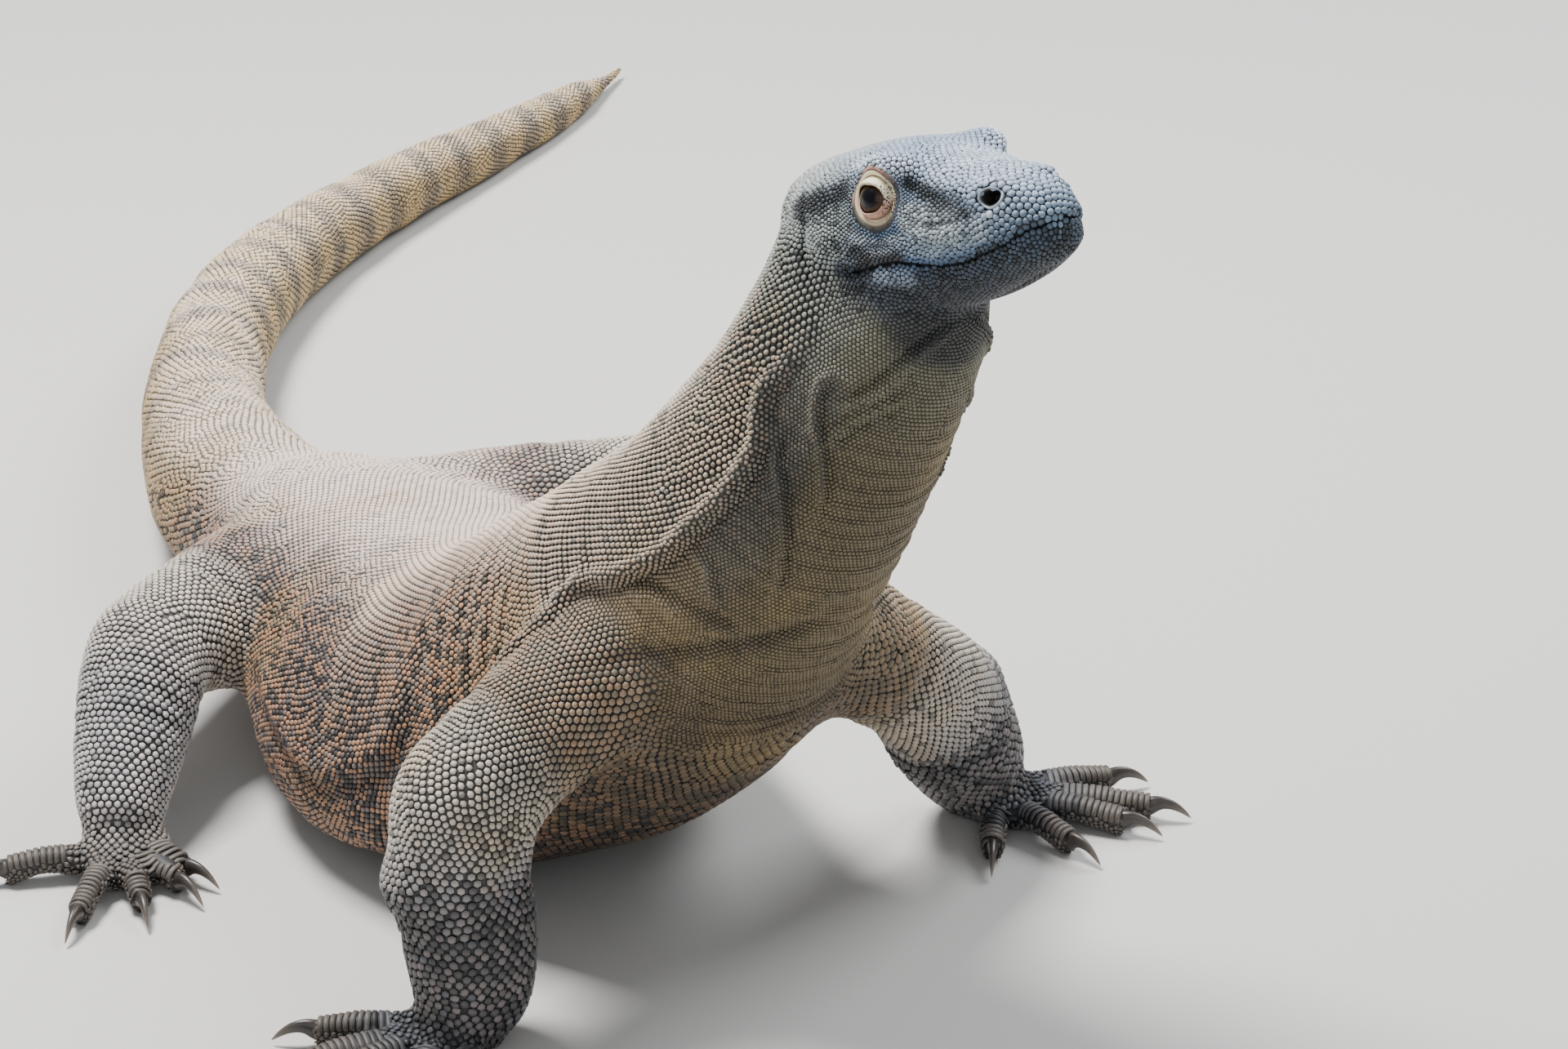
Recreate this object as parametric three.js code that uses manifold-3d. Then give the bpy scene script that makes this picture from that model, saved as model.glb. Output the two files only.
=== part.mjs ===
// A life-size Komodo dragon as a still museum model, in a raised stance with the belly and tail on the floor.
// Millimetres, +Z up. The trunk faces -Y and the animal's left is +X. The origin is on the floor midway between
// the hips. The body is a chain of lofts, parted into head, jaw, neck, trunk, tail, legs, feet, claws and eyes.
import * as THREE from "three";
import { mergeVertices } from "three/addons/utils/BufferGeometryUtils.js";
import Module from "manifold-3d";

// ---- driving dimensions ----
const GAP = 0.3; // between pieces that touch
const DEG = Math.PI / 180;
const UP = new THREE.Vector3(0, 0, 1);

// Each station is a centre and the section there: half width, height above the centre, depth below it.
const station = (x, y, z, width, up, down) => ({ at: [x, y, z], width, up, down });

// The trunk and neck, from inside the pelvis forward to inside the back of the head.
const BODY = [
  station(0, 60, 60, 66, 56, 64),
  station(0, -10, 62, 82, 78, 67),
  station(-2, -95, 54, 112, 100, 58),
  station(-12, -190, 47, 144, 121, 52),
  station(-14, -285, 62, 143, 134, 66),
  station(-8, -372, 142, 108, 124, 84),
  station(0, -434, 220, 88, 100, 86),
  station(15, -474, 292, 74, 78, 80),
  station(36, -500, 360, 65, 65, 77),
  station(57, -518, 438, 53, 54, 78),
];
const BODY_CUTS = { pelvis: 1.25, abdomen: 3.6, chest: 5.75 }; // station numbers where the pieces part
const BODY_SHAPE = { sides: 18, perSpan: 2, startCap: 30, endCap: 10, square: 1.08, side: [-1, 0, 0] };

// The tail lies on the floor, so its own height sets the height of its centre.
const TAIL = [
  { x: 0, y: 30, width: 70, height: 118 },
  { x: 4, y: 130, width: 62, height: 108 },
  { x: 34, y: 240, width: 49, height: 98 },
  { x: 90, y: 350, width: 42, height: 88 },
  { x: 176, y: 462, width: 36, height: 78 },
  { x: 290, y: 558, width: 30, height: 66 },
  { x: 430, y: 634, width: 23, height: 52 },
  { x: 570, y: 700, width: 16, height: 38 },
  { x: 700, y: 780, width: 8, height: 20 },
];
const TAIL_CUTS = [1.1, 3.4, 5.6];
const TAIL_CENTRE = 0.46; // the height of the tail's centre line, of its whole height
const TAIL_SHAPE = { sides: 10, perSpan: 2, endCap: 14 };

// The head has a frame of its own: forward is -Y, its origin is the joint with the neck, level with the mouth.
const HEAD = { at: [60, -509, 452], pitch: 18.5 * DEG };
const HEAD_SECTIONS = [
  station(0, 26, -2, 48, 41, 56),
  station(0, 0, 0, 52, 43, 58),
  station(0, -30, 2, 50, 45, 54),
  station(0, -62, 3, 42, 44, 47),
  station(0, -92, 2, 35, 38, 42),
  station(0, -118, 1, 31, 34, 35),
  station(0, -138, 0, 28, 30, 27),
  station(0, -152, 0, 24, 24, 20),
];
const HEAD_SHAPE = { sides: 16, perSpan: 2, endCap: 15, square: 1.18 };
const EYE = { at: [33, -59, 22], size: [11.5, 11.5, 11.5] };
const BROW = { at: [28, -66, 38], size: [10, 22, 9] };
const TEMPLE = { at: [38, -12, 6], size: [16, 34, 30] };
const NASAL_SWELL = { at: [13, -131, 18], size: [13, 21, 14] };
const NOSTRIL = { at: [25.5, -140, 17], size: [5, 5.5, 4] };

// The jaw line seen from the side, from the back of the head to the snout: y along the head, z up.
const MOUTH_LINE = [
  [60, -30], [18, -16], [-14, -5], [-40, -9], [-70, -15], [-104, -14], [-134, -5], [-154, 1], [-200, -2],
];
const MOUTH_SLAB = { steps: 11, bottom: -120, width: 200 }; // all that the jaw is cut with, below that line

// A leg runs from a root inside the body over its elbow or knee to the wrist or ankle above the heel. The heading
// is the way the foot points, as a turn from straight ahead towards the animal's left.
const HEEL = 32; // height of the wrist or ankle
const LEGS = {
  fore_left: { root: [66, -436, 184], joint: [154, -424, 116], ankle: [211, -397], heading: 37, side: 1 },
  fore_right: { root: [-60, -436, 200], joint: [-174, -448, 150], ankle: [-174, -458], heading: -88, side: -1 },
  hind_left: { root: [45, -45, 90], joint: [174, -108, 112], ankle: [226, -20], heading: 22, side: 1 },
  hind_right: { root: [-45, -14, 70], joint: [-178, -84, 88], ankle: [-240, -160], heading: -18, side: -1 },
};
// Half sizes of the limbs' sections, level and upright, from the root outward. Toes go from the inner side outward:
// where the claw's tip is, as a turn from the foot's heading and a reach from the heel.
const FORE = {
  upper: [[44, 50], [41, 44], [38, 40]],
  lower: [[38, 40], [39, 41], [32, 34]],
  pad: { width: 27, length: 40 },
  toes: [[-65, 88], [-26, 104], [0, 119], [12, 132], [34, 112]],
};
const HIND = {
  upper: [[50, 52], [46, 46], [36, 38]],
  lower: [[35, 38], [36, 38], [26, 28]],
  pad: { width: 29, length: 40 },
  toes: [[-38, 77], [-24, 86], [0, 96], [26, 110], [82, 96]],
};
const LIMB_SHAPE = { sides: 10, perSpan: 2 };
const PAD_HEIGHT = 15;
const TOE_RADIUS = 9.5;
const TOE_ARCH = 4; // how far the middle of a toe lifts
const SOLE = 1.2; // how far a foot's sections reach below the floor, of their own depth, so that it rests on flats
const CLAW = { length: 24, width: 5, height: 6.4, root: 10.5 };

// ---- solids ----
const wasm = await Module();
wasm.setup();

// The closed geometry as a solid that can be cut, with its faces pointing out.
function solid(geometry) {
  const bare = geometry.clone();
  bare.deleteAttribute("normal");
  bare.deleteAttribute("uv");
  const merged = mergeVertices(bare, 1e-4);
  const vertProperties = new Float32Array(merged.attributes.position.array);
  const made = (triVerts) => new wasm.Manifold(new wasm.Mesh({ numProp: 3, vertProperties, triVerts }));
  const facing = new Uint32Array(merged.index.array);
  const first = made(facing);
  if (first.volume() > 0) return first;
  for (let i = 0; i < facing.length; i += 3) [facing[i], facing[i + 1]] = [facing[i + 1], facing[i]];
  return made(facing);
}

// The solid's largest body as a geometry.
function geometryOf(cut) {
  const body = cut.decompose().sort((a, b) => b.volume() - a.volume())[0];
  const mesh = body.getMesh();
  const geometry = new THREE.BufferGeometry();
  geometry.setAttribute("position", new THREE.BufferAttribute(new Float32Array(mesh.vertProperties), 3));
  geometry.setIndex(new THREE.BufferAttribute(new Uint32Array(mesh.triVerts), 1));
  geometry.computeVertexNormals();
  return geometry;
}

const union = (solids) => solids.reduce((all, next) => all.add(next));
const without = (whole, others) => others.reduce((left, other) => left.subtract(other), whole);
const aboveFloor = (whole) => whole.trimByPlane([0, 0, 1], 0);
const vector = (list) => new THREE.Vector3(...list);

// A smooth value through the stations' values at a station number that need not be whole.
function through(values, s) {
  const i = Math.min(Math.floor(s), values.length - 2);
  const t = s - i;
  const [a, b] = [values[i], values[i + 1]];
  const before = values[i - 1] ?? 2 * a - b;
  const after = values[i + 2] ?? 2 * b - a;
  const curve = 2 * a + (b - before) * t + (2 * before - 5 * a + 4 * b - after) * t * t;
  return (curve + (3 * a - before - 3 * b + after) * t * t * t) / 2;
}

// Where a chain of stations is at station number s, which way it runs and how big its section is.
function alongChain(chain, s) {
  const read = (pick) => through(chain.map(pick), s);
  const point = (u) => vector([0, 1, 2].map((k) => through(chain.map((c) => c.at[k]), u)));
  const step = 0.02;
  const last = chain.length - 1;
  return {
    centre: point(s),
    tangent: point(Math.min(s + step, last)).sub(point(Math.max(s - step, 0))).normalize(),
    width: read((c) => c.width),
    up: read((c) => c.up),
    down: read((c) => c.down),
  };
}

// A closed loft along a chain. Its ends are domes of the given lengths, or flat. side is the way its width runs,
// level if not given; square above 1 fills the section's corners; grow adds to every size.
function loft(chain, options) {
  const { sides, perSpan, startCap = 0, endCap = 0, side = null, square = 1, grow = 0 } = options;
  const last = chain.length - 1;
  const capSteps = 3;
  const dome = (s, length, way) => {
    const steps = [];
    for (let k = 1; length > 0 && k < capSteps; k++) {
      const angle = (k / capSteps) * 90 * DEG;
      steps.push({ s, shift: way * length * Math.sin(angle), scale: Math.cos(angle) });
    }
    return steps;
  };
  const rings = dome(0, startCap, -1).reverse();
  for (let k = 0; k <= last * perSpan; k++) rings.push({ s: k / perSpan, shift: 0, scale: 1 });
  rings.push(...dome(last, endCap, 1));
  const positions = [];
  const index = [];
  const filled = (value) => Math.sign(value) * Math.abs(value) ** (1 / square);
  for (const { s, shift, scale } of rings) {
    const { centre, tangent, width, up, down } = alongChain(chain, s);
    const lateral = side ? vector(side) : new THREE.Vector3().crossVectors(tangent, UP);
    lateral.addScaledVector(tangent, -lateral.dot(tangent)).normalize();
    const dorsal = new THREE.Vector3().crossVectors(lateral, tangent).normalize();
    centre.addScaledVector(tangent, shift);
    for (let j = 0; j < sides; j++) {
      const angle = (j / sides) * 2 * Math.PI;
      const across = filled(Math.cos(angle)) * (width + grow) * scale;
      const above = filled(Math.sin(angle)) * ((Math.sin(angle) > 0 ? up : down) + grow) * scale;
      positions.push(...centre.clone().addScaledVector(lateral, across).addScaledVector(dorsal, above).toArray());
    }
  }
  for (let i = 0; i < rings.length - 1; i++) {
    for (let j = 0; j < sides; j++) {
      const [a, b] = [i * sides + j, i * sides + ((j + 1) % sides)];
      index.push(a, b, b + sides, a, b + sides, a + sides);
    }
  }
  const close = (ring, s, shift, flip) => {
    const { centre, tangent } = alongChain(chain, s);
    const pole = positions.length / 3;
    positions.push(...centre.addScaledVector(tangent, shift).toArray());
    for (let j = 0; j < sides; j++) {
      const [a, b] = [ring * sides + j, ring * sides + ((j + 1) % sides)];
      index.push(...(flip ? [pole, b, a] : [pole, a, b]));
    }
  };
  close(0, 0, -startCap - grow, true);
  close(rings.length - 1, last, endCap + grow, false);
  const geometry = new THREE.BufferGeometry();
  geometry.setAttribute("position", new THREE.BufferAttribute(new Float32Array(positions), 3));
  geometry.setIndex(index);
  return solid(geometry);
}

// The part of a solid between two stations of the chain that it was lofted on, short of each by half the gap.
function between(whole, chain, from, to) {
  const trim = (left, s, way) => {
    const { centre, tangent } = alongChain(chain, s);
    const normal = tangent.multiplyScalar(way);
    return left.trimByPlane(normal.toArray(), normal.dot(centre) + GAP / 2);
  };
  let left = whole;
  if (from !== null) left = trim(left, from, 1);
  if (to !== null) left = trim(left, to, -1);
  return left;
}

// A rounded lump: a sphere stretched to three half sizes.
function lump({ at, size }, grow = 0, around = 8) {
  const geometry = new THREE.SphereGeometry(1, around, around / 2 + 1);
  geometry.scale(...size.map((s) => s + grow));
  return solid(geometry.translate(...at));
}
const bothSides = ({ at: [x, y, z], size }) => [{ at: [x, y, z], size }, { at: [-x, y, z], size }];

// ---- materials ----
const paint = (color, roughness) => new THREE.MeshStandardMaterial({ color, roughness, metalness: 0 });
const SKIN = paint(0x8a7d6c, 0.75);
const HEAD_SKIN = paint(0x6f7a82, 0.65);
const LEG_SKIN = paint(0x77726a, 0.75);
const HORN = paint(0x3a3632, 0.4);
const EYEBALL = paint(0x2a1d14, 0.1);

const dragon = new THREE.Group();
function place(group, name, cut, material) {
  const mesh = new THREE.Mesh(geometryOf(cut), material);
  mesh.name = name;
  group.add(mesh);
}

// ---- the head, in its own frame ----
const headPlace = new THREE.Matrix4().compose(
  vector(HEAD.at),
  new THREE.Quaternion().setFromEuler(new THREE.Euler(-HEAD.pitch, 0, 0)),
  new THREE.Vector3(1, 1, 1),
);
function headSolid(grow) {
  const lumps = [BROW, TEMPLE, NASAL_SWELL].flatMap(bothSides).map((one) => lump(one, grow));
  return union([loft(HEAD_SECTIONS, { ...HEAD_SHAPE, grow }), ...lumps]);
}

// All that lies below the mouth line, as a slab across the head, lowered by drop.
function underMouth(drop) {
  const line = new THREE.SplineCurve(MOUTH_LINE.map(([y, z]) => new THREE.Vector2(y, z - drop)));
  const shape = new THREE.Shape(line.getPoints(MOUTH_SLAB.steps));
  shape.lineTo(MOUTH_LINE.at(-1)[0], MOUTH_SLAB.bottom);
  shape.lineTo(MOUTH_LINE[0][0], MOUTH_SLAB.bottom);
  const slab = new THREE.ExtrudeGeometry(shape, { depth: MOUTH_SLAB.width, bevelEnabled: false });
  // The outline's x becomes the head's y, its y becomes z, and the slab's depth runs across the head.
  slab.applyMatrix4(new THREE.Matrix4().makeBasis(new THREE.Vector3(0, 1, 0), UP, new THREE.Vector3(1, 0, 0)));
  return solid(slab.translate(-MOUTH_SLAB.width / 2, 0, 0));
}

const headWhole = headSolid(0);
const eyeAround = 10;
const eyeHollows = bothSides(EYE).map((one) => lump(one, GAP, eyeAround));
const skull = new THREE.Group();
skull.applyMatrix4(headPlace);
dragon.add(skull);
const nostrils = bothSides(NOSTRIL).map((one) => lump(one));
place(skull, "head", without(headWhole, [underMouth(0), ...eyeHollows, ...nostrils]), HEAD_SKIN);
place(skull, "lower_jaw", headWhole.intersect(underMouth(GAP)), HEAD_SKIN);
bothSides(EYE).forEach((one, i) => place(skull, ["eye_left", "eye_right"][i], lump(one, 0, eyeAround), EYEBALL));

// ---- the trunk, neck and tail ----
const tailChain = TAIL.map(({ x, y, width, height }) =>
  station(x, y, height * TAIL_CENTRE, width, height * (1 - TAIL_CENTRE), height / 2));
const bodyWhole = aboveFloor(loft(BODY, BODY_SHAPE));
const bodyGrown = loft(BODY, { ...BODY_SHAPE, grow: GAP });
const headGrown = headSolid(GAP).transform(headPlace.toArray());
place(dragon, "pelvis", between(bodyWhole, BODY, null, BODY_CUTS.pelvis), SKIN);
place(dragon, "abdomen", between(bodyWhole, BODY, BODY_CUTS.pelvis, BODY_CUTS.abdomen), SKIN);
place(dragon, "chest", between(bodyWhole, BODY, BODY_CUTS.abdomen, BODY_CUTS.chest), SKIN);
place(dragon, "neck", between(bodyWhole, BODY, BODY_CUTS.chest, null).subtract(headGrown), SKIN);
const tailWhole = aboveFloor(loft(tailChain, TAIL_SHAPE)).subtract(bodyGrown);
const tailEnds = [null, ...TAIL_CUTS, null];
["tail_base", "tail_middle", "tail_end", "tail_tip"].forEach((name, i) =>
  place(dragon, name, between(tailWhole, tailChain, tailEnds[i], tailEnds[i + 1]), SKIN));

// ---- legs ----
// A limb segment between two points, with domes that reach past both.
function limb(from, to, sizes, side, grow) {
  const chain = sizes.map(([width, up], i) => {
    const at = vector(from).lerp(vector(to), i / (sizes.length - 1));
    return station(...at.toArray(), width, up, up);
  });
  const dome = 0.8;
  const caps = { startCap: sizes[0][0] * dome, endCap: sizes.at(-1)[0] * dome };
  return loft(chain, { ...LIMB_SHAPE, ...caps, side, grow });
}

// One toe and its claw, parted by an upright plane across the toe. Both run from start to the claw's tip.
function toeAndClaw(start, tip) {
  const way = tip.clone().sub(start).setZ(0);
  const length = way.length() - CLAW.length;
  way.normalize();
  const point = (d, z) => start.clone().addScaledVector(way, d).setZ(z).toArray();
  const r = TOE_RADIUS;
  const toe = loft([
    station(...point(0, r + 1), r, r, r * SOLE),
    station(...point(length * 0.6, r + TOE_ARCH), r * 0.85, r * 0.85, r * 0.85),
    station(...point(length + 2, r), r * 0.8, r * 0.85, r * SOLE),
  ], { sides: 6, perSpan: 1 });
  const { width: w, height: h, root } = CLAW;
  const claw = loft([
    station(...point(length - 2, root), w, h, h),
    station(...point(length + CLAW.length * 0.5, root + 1), w * 0.68, h * 0.75, h * 0.7),
    station(...point(length + CLAW.length * 0.85, root * 0.6), w * 0.4, h * 0.4, h * 0.38),
    station(...point(length + CLAW.length, root * 0.24), w * 0.16, h * 0.16, h * 0.14),
  ], { sides: 5, perSpan: 1 });
  const split = way.dot(start) + length;
  return {
    toe: toe.trimByPlane(way.clone().negate().toArray(), -split),
    claw: claw.trimByPlane(way.toArray(), split + GAP),
  };
}

const trunk = union([headGrown, bodyGrown, loft(tailChain, { ...TAIL_SHAPE, grow: GAP })]);
for (const [name, { root, joint, ankle, heading, side }] of Object.entries(LEGS)) {
  const { upper, lower, pad, toes } = name.startsWith("fore") ? FORE : HIND;
  const ahead = new THREE.Vector3(Math.sin(heading * DEG), -Math.cos(heading * DEG), 0);
  const turned = (degrees) => ahead.clone().applyAxisAngle(UP, degrees * DEG);
  const heel = vector([...ankle, PAD_HEIGHT]);
  const onPad = (d, z) => heel.clone().addScaledVector(ahead, d).setZ(z).toArray();
  const padSolid = loft([
    station(...onPad(-8, PAD_HEIGHT), pad.width * 0.72, PAD_HEIGHT * 1.3, PAD_HEIGHT * SOLE),
    station(...onPad(pad.length * 0.5, PAD_HEIGHT), pad.width, PAD_HEIGHT * 0.9, PAD_HEIGHT * SOLE),
    station(...onPad(pad.length, TOE_RADIUS), pad.width * 0.9, TOE_RADIUS, TOE_RADIUS * SOLE),
  ], { sides: 8, perSpan: 1, startCap: 12, endCap: 8 });
  const digits = toes.map(([spread, reach]) => {
    const fan = turned(90 * side).multiplyScalar(Math.sin(spread * DEG) * pad.width * 0.55);
    const start = heel.clone().addScaledVector(ahead, pad.length * 0.45).add(fan);
    return toeAndClaw(start, heel.clone().addScaledVector(turned(spread * side), reach));
  });
  const upperSolid = limb(root, joint, upper, [0, 0, 1], 0);
  const lowerSolid = (grow) => limb(joint, [...ankle, HEEL], lower, [0, 1, 0], grow);
  const foot = union([padSolid, ...digits.map(({ toe }) => toe)]);
  place(dragon, `${name}_upper`, aboveFloor(without(upperSolid, [trunk, lowerSolid(GAP)])), LEG_SKIN);
  place(dragon, `${name}_lower`, aboveFloor(without(lowerSolid(0), [trunk])), LEG_SKIN);
  place(dragon, `${name}_foot`, aboveFloor(without(foot, [lowerSolid(GAP), trunk])), LEG_SKIN);
  digits.forEach(({ claw }, i) => place(dragon, `${name}_claw_${i + 1}`, aboveFloor(claw), HORN));
}

export default dragon;
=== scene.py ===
import math
from collections import defaultdict, deque
from contextlib import contextmanager

import bmesh
import bpy
import numpy as np
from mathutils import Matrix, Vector
from mathutils.bvhtree import BVHTree
from mathutils.kdtree import KDTree


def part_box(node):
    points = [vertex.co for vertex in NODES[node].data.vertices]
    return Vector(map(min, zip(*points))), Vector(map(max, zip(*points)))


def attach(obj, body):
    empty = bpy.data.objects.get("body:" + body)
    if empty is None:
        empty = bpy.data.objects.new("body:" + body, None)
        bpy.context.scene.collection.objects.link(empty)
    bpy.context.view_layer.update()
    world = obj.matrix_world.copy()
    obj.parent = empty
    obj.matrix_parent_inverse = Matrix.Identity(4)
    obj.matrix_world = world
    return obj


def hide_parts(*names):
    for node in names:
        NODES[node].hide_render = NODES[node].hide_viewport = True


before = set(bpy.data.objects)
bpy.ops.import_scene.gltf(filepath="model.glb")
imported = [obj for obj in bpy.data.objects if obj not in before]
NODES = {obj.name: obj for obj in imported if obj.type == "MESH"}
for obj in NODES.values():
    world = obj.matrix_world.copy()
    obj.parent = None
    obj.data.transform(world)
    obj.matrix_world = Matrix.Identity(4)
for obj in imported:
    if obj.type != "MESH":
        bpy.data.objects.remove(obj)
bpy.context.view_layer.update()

MM = 0.001
UP = np.array([0.0, 0.0, 1.0])

# ---------------------------------------------------------------- the frame's own landmarks

LEGS = ("fore_left", "fore_right", "hind_left", "hind_right")
LIMB_PARTS = ("upper", "lower", "foot")
SKULL = ("head", "lower_jaw")
TAIL = ("tail_base", "tail_middle", "tail_end", "tail_tip")
TRUNK = ("head", "neck", "chest", "abdomen", "pelvis", *TAIL)
FLESH = (*TRUNK, "lower_jaw", *(f"{leg}_{part}" for leg in LEGS for part in LIMB_PARTS))
# how many slices across each node of the trunk the centre line takes its way from
SLICES = (3, 4, 3, 3, 2, 2, 5, 4, 4)
LEAST_CORNERS = 6
HEAD_TILT = math.radians(18.5)
EYE_AHEAD = 59 * MM
EYE_ABOVE = 22 * MM
# the skull's own line, in mm: the snout's tip ahead of the hinge, places along it, and its middle's height
SNOUT = 166
SKULL_STOPS = (-SNOUT, -120, -80, -40, -5)
SKULL_MIDDLE = -4


def unit(v):
    return v / np.maximum(np.linalg.norm(v, axis=-1, keepdims=True), 1e-12)


def ramp(low, high, x):
    """0 below low, 1 above high, and a smooth rise between."""
    t = np.clip((x - low) / (high - low), 0, 1)
    return t * t * (3 - 2 * t)


def bump(centre, half_width, x):
    """1 at the centre, falling smoothly to almost nothing past the half width."""
    return np.exp(-((x - centre) / half_width) ** 2)


def points_of(mesh):
    flat = np.empty(len(mesh.vertices) * 3)
    mesh.vertices.foreach_get("co", flat)
    return flat.reshape(-1, 3)


def tree_of(places):
    """Places laid out so that the nearest of them can be found."""
    tree = KDTree(len(places))
    for index, place in enumerate(places):
        tree.insert(place, index)
    tree.balance()
    return tree


def surface_of(mesh, places):
    """A mesh's faces over the given places, for rays and for the nearest point on them."""
    return BVHTree.FromPolygons([Vector(p) for p in places], [tuple(f.vertices) for f in mesh.polygons])


def between(at, marks, rows):
    """Rows of three numbers, read at places between the marks where they are given."""
    return np.stack([np.interp(at, marks, rows[:, k]) for k in range(3)], axis=-1)


def middle(name):
    return points_of(NODES[name].data).mean(axis=0)


def meeting(a, b):
    """Where node a ends against node b: the middle of a's corners that lie inside b's box."""
    low, high = (np.array(v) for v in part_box(b))
    corners = points_of(NODES[a].data)
    near = np.all((corners > low - 2 * MM) & (corners < high + 2 * MM), axis=1)
    return corners[near].mean(axis=0)


class Line:
    """A smooth centre line, with the distance along it from its start."""

    def __init__(self, stops, steps):
        stops = np.array(stops)
        gaps = np.concatenate([[0], np.cumsum(np.linalg.norm(np.diff(stops, axis=0), axis=1))])
        at = np.linspace(0, gaps[-1], steps)
        points = between(at, gaps, stops)
        for _ in range(6):
            points[1:-1] = (points[:-2] + 2 * points[1:-1] + points[2:]) / 4
        self.points = points
        self.tangents = unit(np.gradient(points, axis=0))
        self.distance = np.concatenate([[0], np.cumsum(np.linalg.norm(np.diff(points, axis=0), axis=1))])
        self.length = self.distance[-1]

    def nearest(self, places):
        """Distance along, foot point, tangent and gap for each place."""
        best = np.full(len(places), np.inf)
        along = np.zeros(len(places))
        for i in range(len(self.points) - 1):
            start, step = self.points[i], self.points[i + 1] - self.points[i]
            t = np.clip((places - start) @ step / (step @ step), 0, 1)
            gap = np.linalg.norm(places - start - t[:, None] * step, axis=1)
            closer = gap < best
            best[closer] = gap[closer]
            along[closer] = (self.distance[i] + t * np.linalg.norm(step))[closer]
        foot = between(along, self.distance, self.points)
        return along, foot, unit(between(along, self.distance, self.tangents)), best


HEAD_AXES = np.array([
    [1, 0, 0],
    [0, math.cos(HEAD_TILT), -math.sin(HEAD_TILT)],
    [0, math.sin(HEAD_TILT), math.cos(HEAD_TILT)],
])
EYES_MIDDLE = (middle("eye_left") + middle("eye_right")) / 2
HEAD_AT = EYES_MIDDLE - np.array([0, -EYE_AHEAD, EYE_ABOVE]) @ HEAD_AXES


def in_head(places):
    """Places in the head's own axes: x to its left, y back along the skull, z up, from the skull's hinge."""
    return (places - HEAD_AT) @ HEAD_AXES.T


def centre_line():
    """From the snout along the skull, then through the middle of each node to the tail's tip."""
    stops = [HEAD_AT + np.array([0, y * MM, SKULL_MIDDLE * MM]) @ HEAD_AXES for y in SKULL_STOPS]
    centres = [middle(name) for name in TRUNK]
    for i, (name, slices) in enumerate(zip(TRUNK, SLICES)):
        if name == "head":
            continue
        axis = unit(centres[min(i + 1, len(TRUNK) - 1)] - centres[max(i - 1, 0)])
        corners = points_of(NODES[name].data)
        reach = corners @ axis
        bounds = np.linspace(reach.min(), reach.max(), slices + 1)
        for low, high in zip(bounds[:-1], bounds[1:]):
            held = (reach >= low) & (reach <= high)
            if held.sum() > LEAST_CORNERS:
                stops.append(corners[held].mean(axis=0))
    corners = points_of(NODES["tail_tip"].data)
    stops.append(corners[np.argmax(corners[:, 1])])
    return Line(stops, 170)


SPINE = centre_line()
# where the spine passes between the shoulders, in metres from the snout
SHOULDERS = 0.47


def carried_back():
    """The way the back faces along the spine, carried up the neck and turned evenly to meet the skull."""
    tangents = SPINE.tangents
    backs = unit(UP - (tangents @ UP)[:, None] * tangents)
    first = int(np.searchsorted(SPINE.distance, SHOULDERS))
    for i in range(first - 1, -1, -1):
        backs[i] = unit(backs[i + 1] - (backs[i + 1] @ tangents[i]) * tangents[i])
    skull = unit(HEAD_AXES[2] - (HEAD_AXES[2] @ tangents[0]) * tangents[0])
    twist = math.atan2(np.cross(backs[0], skull) @ tangents[0], backs[0] @ skull)
    for i in range(first):
        angle = twist * (1 - i / first)
        backs[i] = backs[i] * math.cos(angle) + np.cross(tangents[i], backs[i]) * math.sin(angle)
    return backs


SPINE_BACK = carried_back()


def leg_lines():
    """Each leg's line from the trunk to its ankle, and one line for each of its toes."""
    limbs, toes = {}, {}
    for leg in LEGS:
        upper, lower, foot = (f"{leg}_{part}" for part in LIMB_PARTS)
        elbow, ankle = meeting(upper, lower), meeting(lower, foot)
        inner = middle(upper) * 2 - elbow
        limbs[leg] = Line([inner, middle(upper), elbow, middle(lower), ankle, middle(foot)], 40)
        for number in range(1, 6):
            claw = middle(f"{leg}_claw_{number}")
            toes[leg, number] = Line([ankle, middle(foot) * 0.6 + claw * 0.4, claw], 12)
    return limbs, toes


LIMBS, TOES = leg_lines()

# the mouth's line, back along the skull and its height, in millimetres in the head's axes
MOUTH = ((-170, -160, -150, -135, -118, -102, -84, -70, -59, -49, -42, -30),
         (5, 1.5, -4, -8, -12.5, -14, -12.5, -10.5, -11, -13, -14, -16))
# the middles of eye and nostril, back along the skull and up, and the nostril's reach both ways, in mm
EYE_AT = (-60, 22)
NOSTRIL_AT = (-141, 19.5)
NOSTRIL = (6.6, 4.7)
NOSTRIL_OUTER = 12


def above_mouth(y, z):
    """Height over the mouth's line, in mm in the head's axes."""
    return z - np.interp(y, *MOUTH)


def from_nostril(y, z):
    """Distance from the nostril's middle as a share of its size, in the head's axes."""
    return np.hypot((y - NOSTRIL_AT[0]) / NOSTRIL[0], (z - NOSTRIL_AT[1]) / NOSTRIL[1])


def from_eye(y, z):
    """Distance from the eye's middle, in mm in the head's axes."""
    return np.hypot(y - EYE_AT[0], z - EYE_AT[1])


# ---------------------------------------------------------------- the skin's body

VOXEL = 3.4 * MM
SWELL = 0.4 * MM
COAT_DEPTH = 0.9 * MM
FLOOR_GAP = 0.25 * MM
# how strongly the joins are smoothed on the trunk, and on the nodes that differ from it
SMOOTHING = 0.9
SMOOTHED = {
    "head": 0.09, "lower_jaw": 0.09, "tail_middle": 0.5, "tail_end": 0.35, "tail_tip": 0.12,
    **{f"{leg}_{part}": value for leg in LEGS for part, value in zip(LIMB_PARTS, (0.45, 0.22, 0.025))},
}
SMOOTH_ROUNDS = 70
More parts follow.
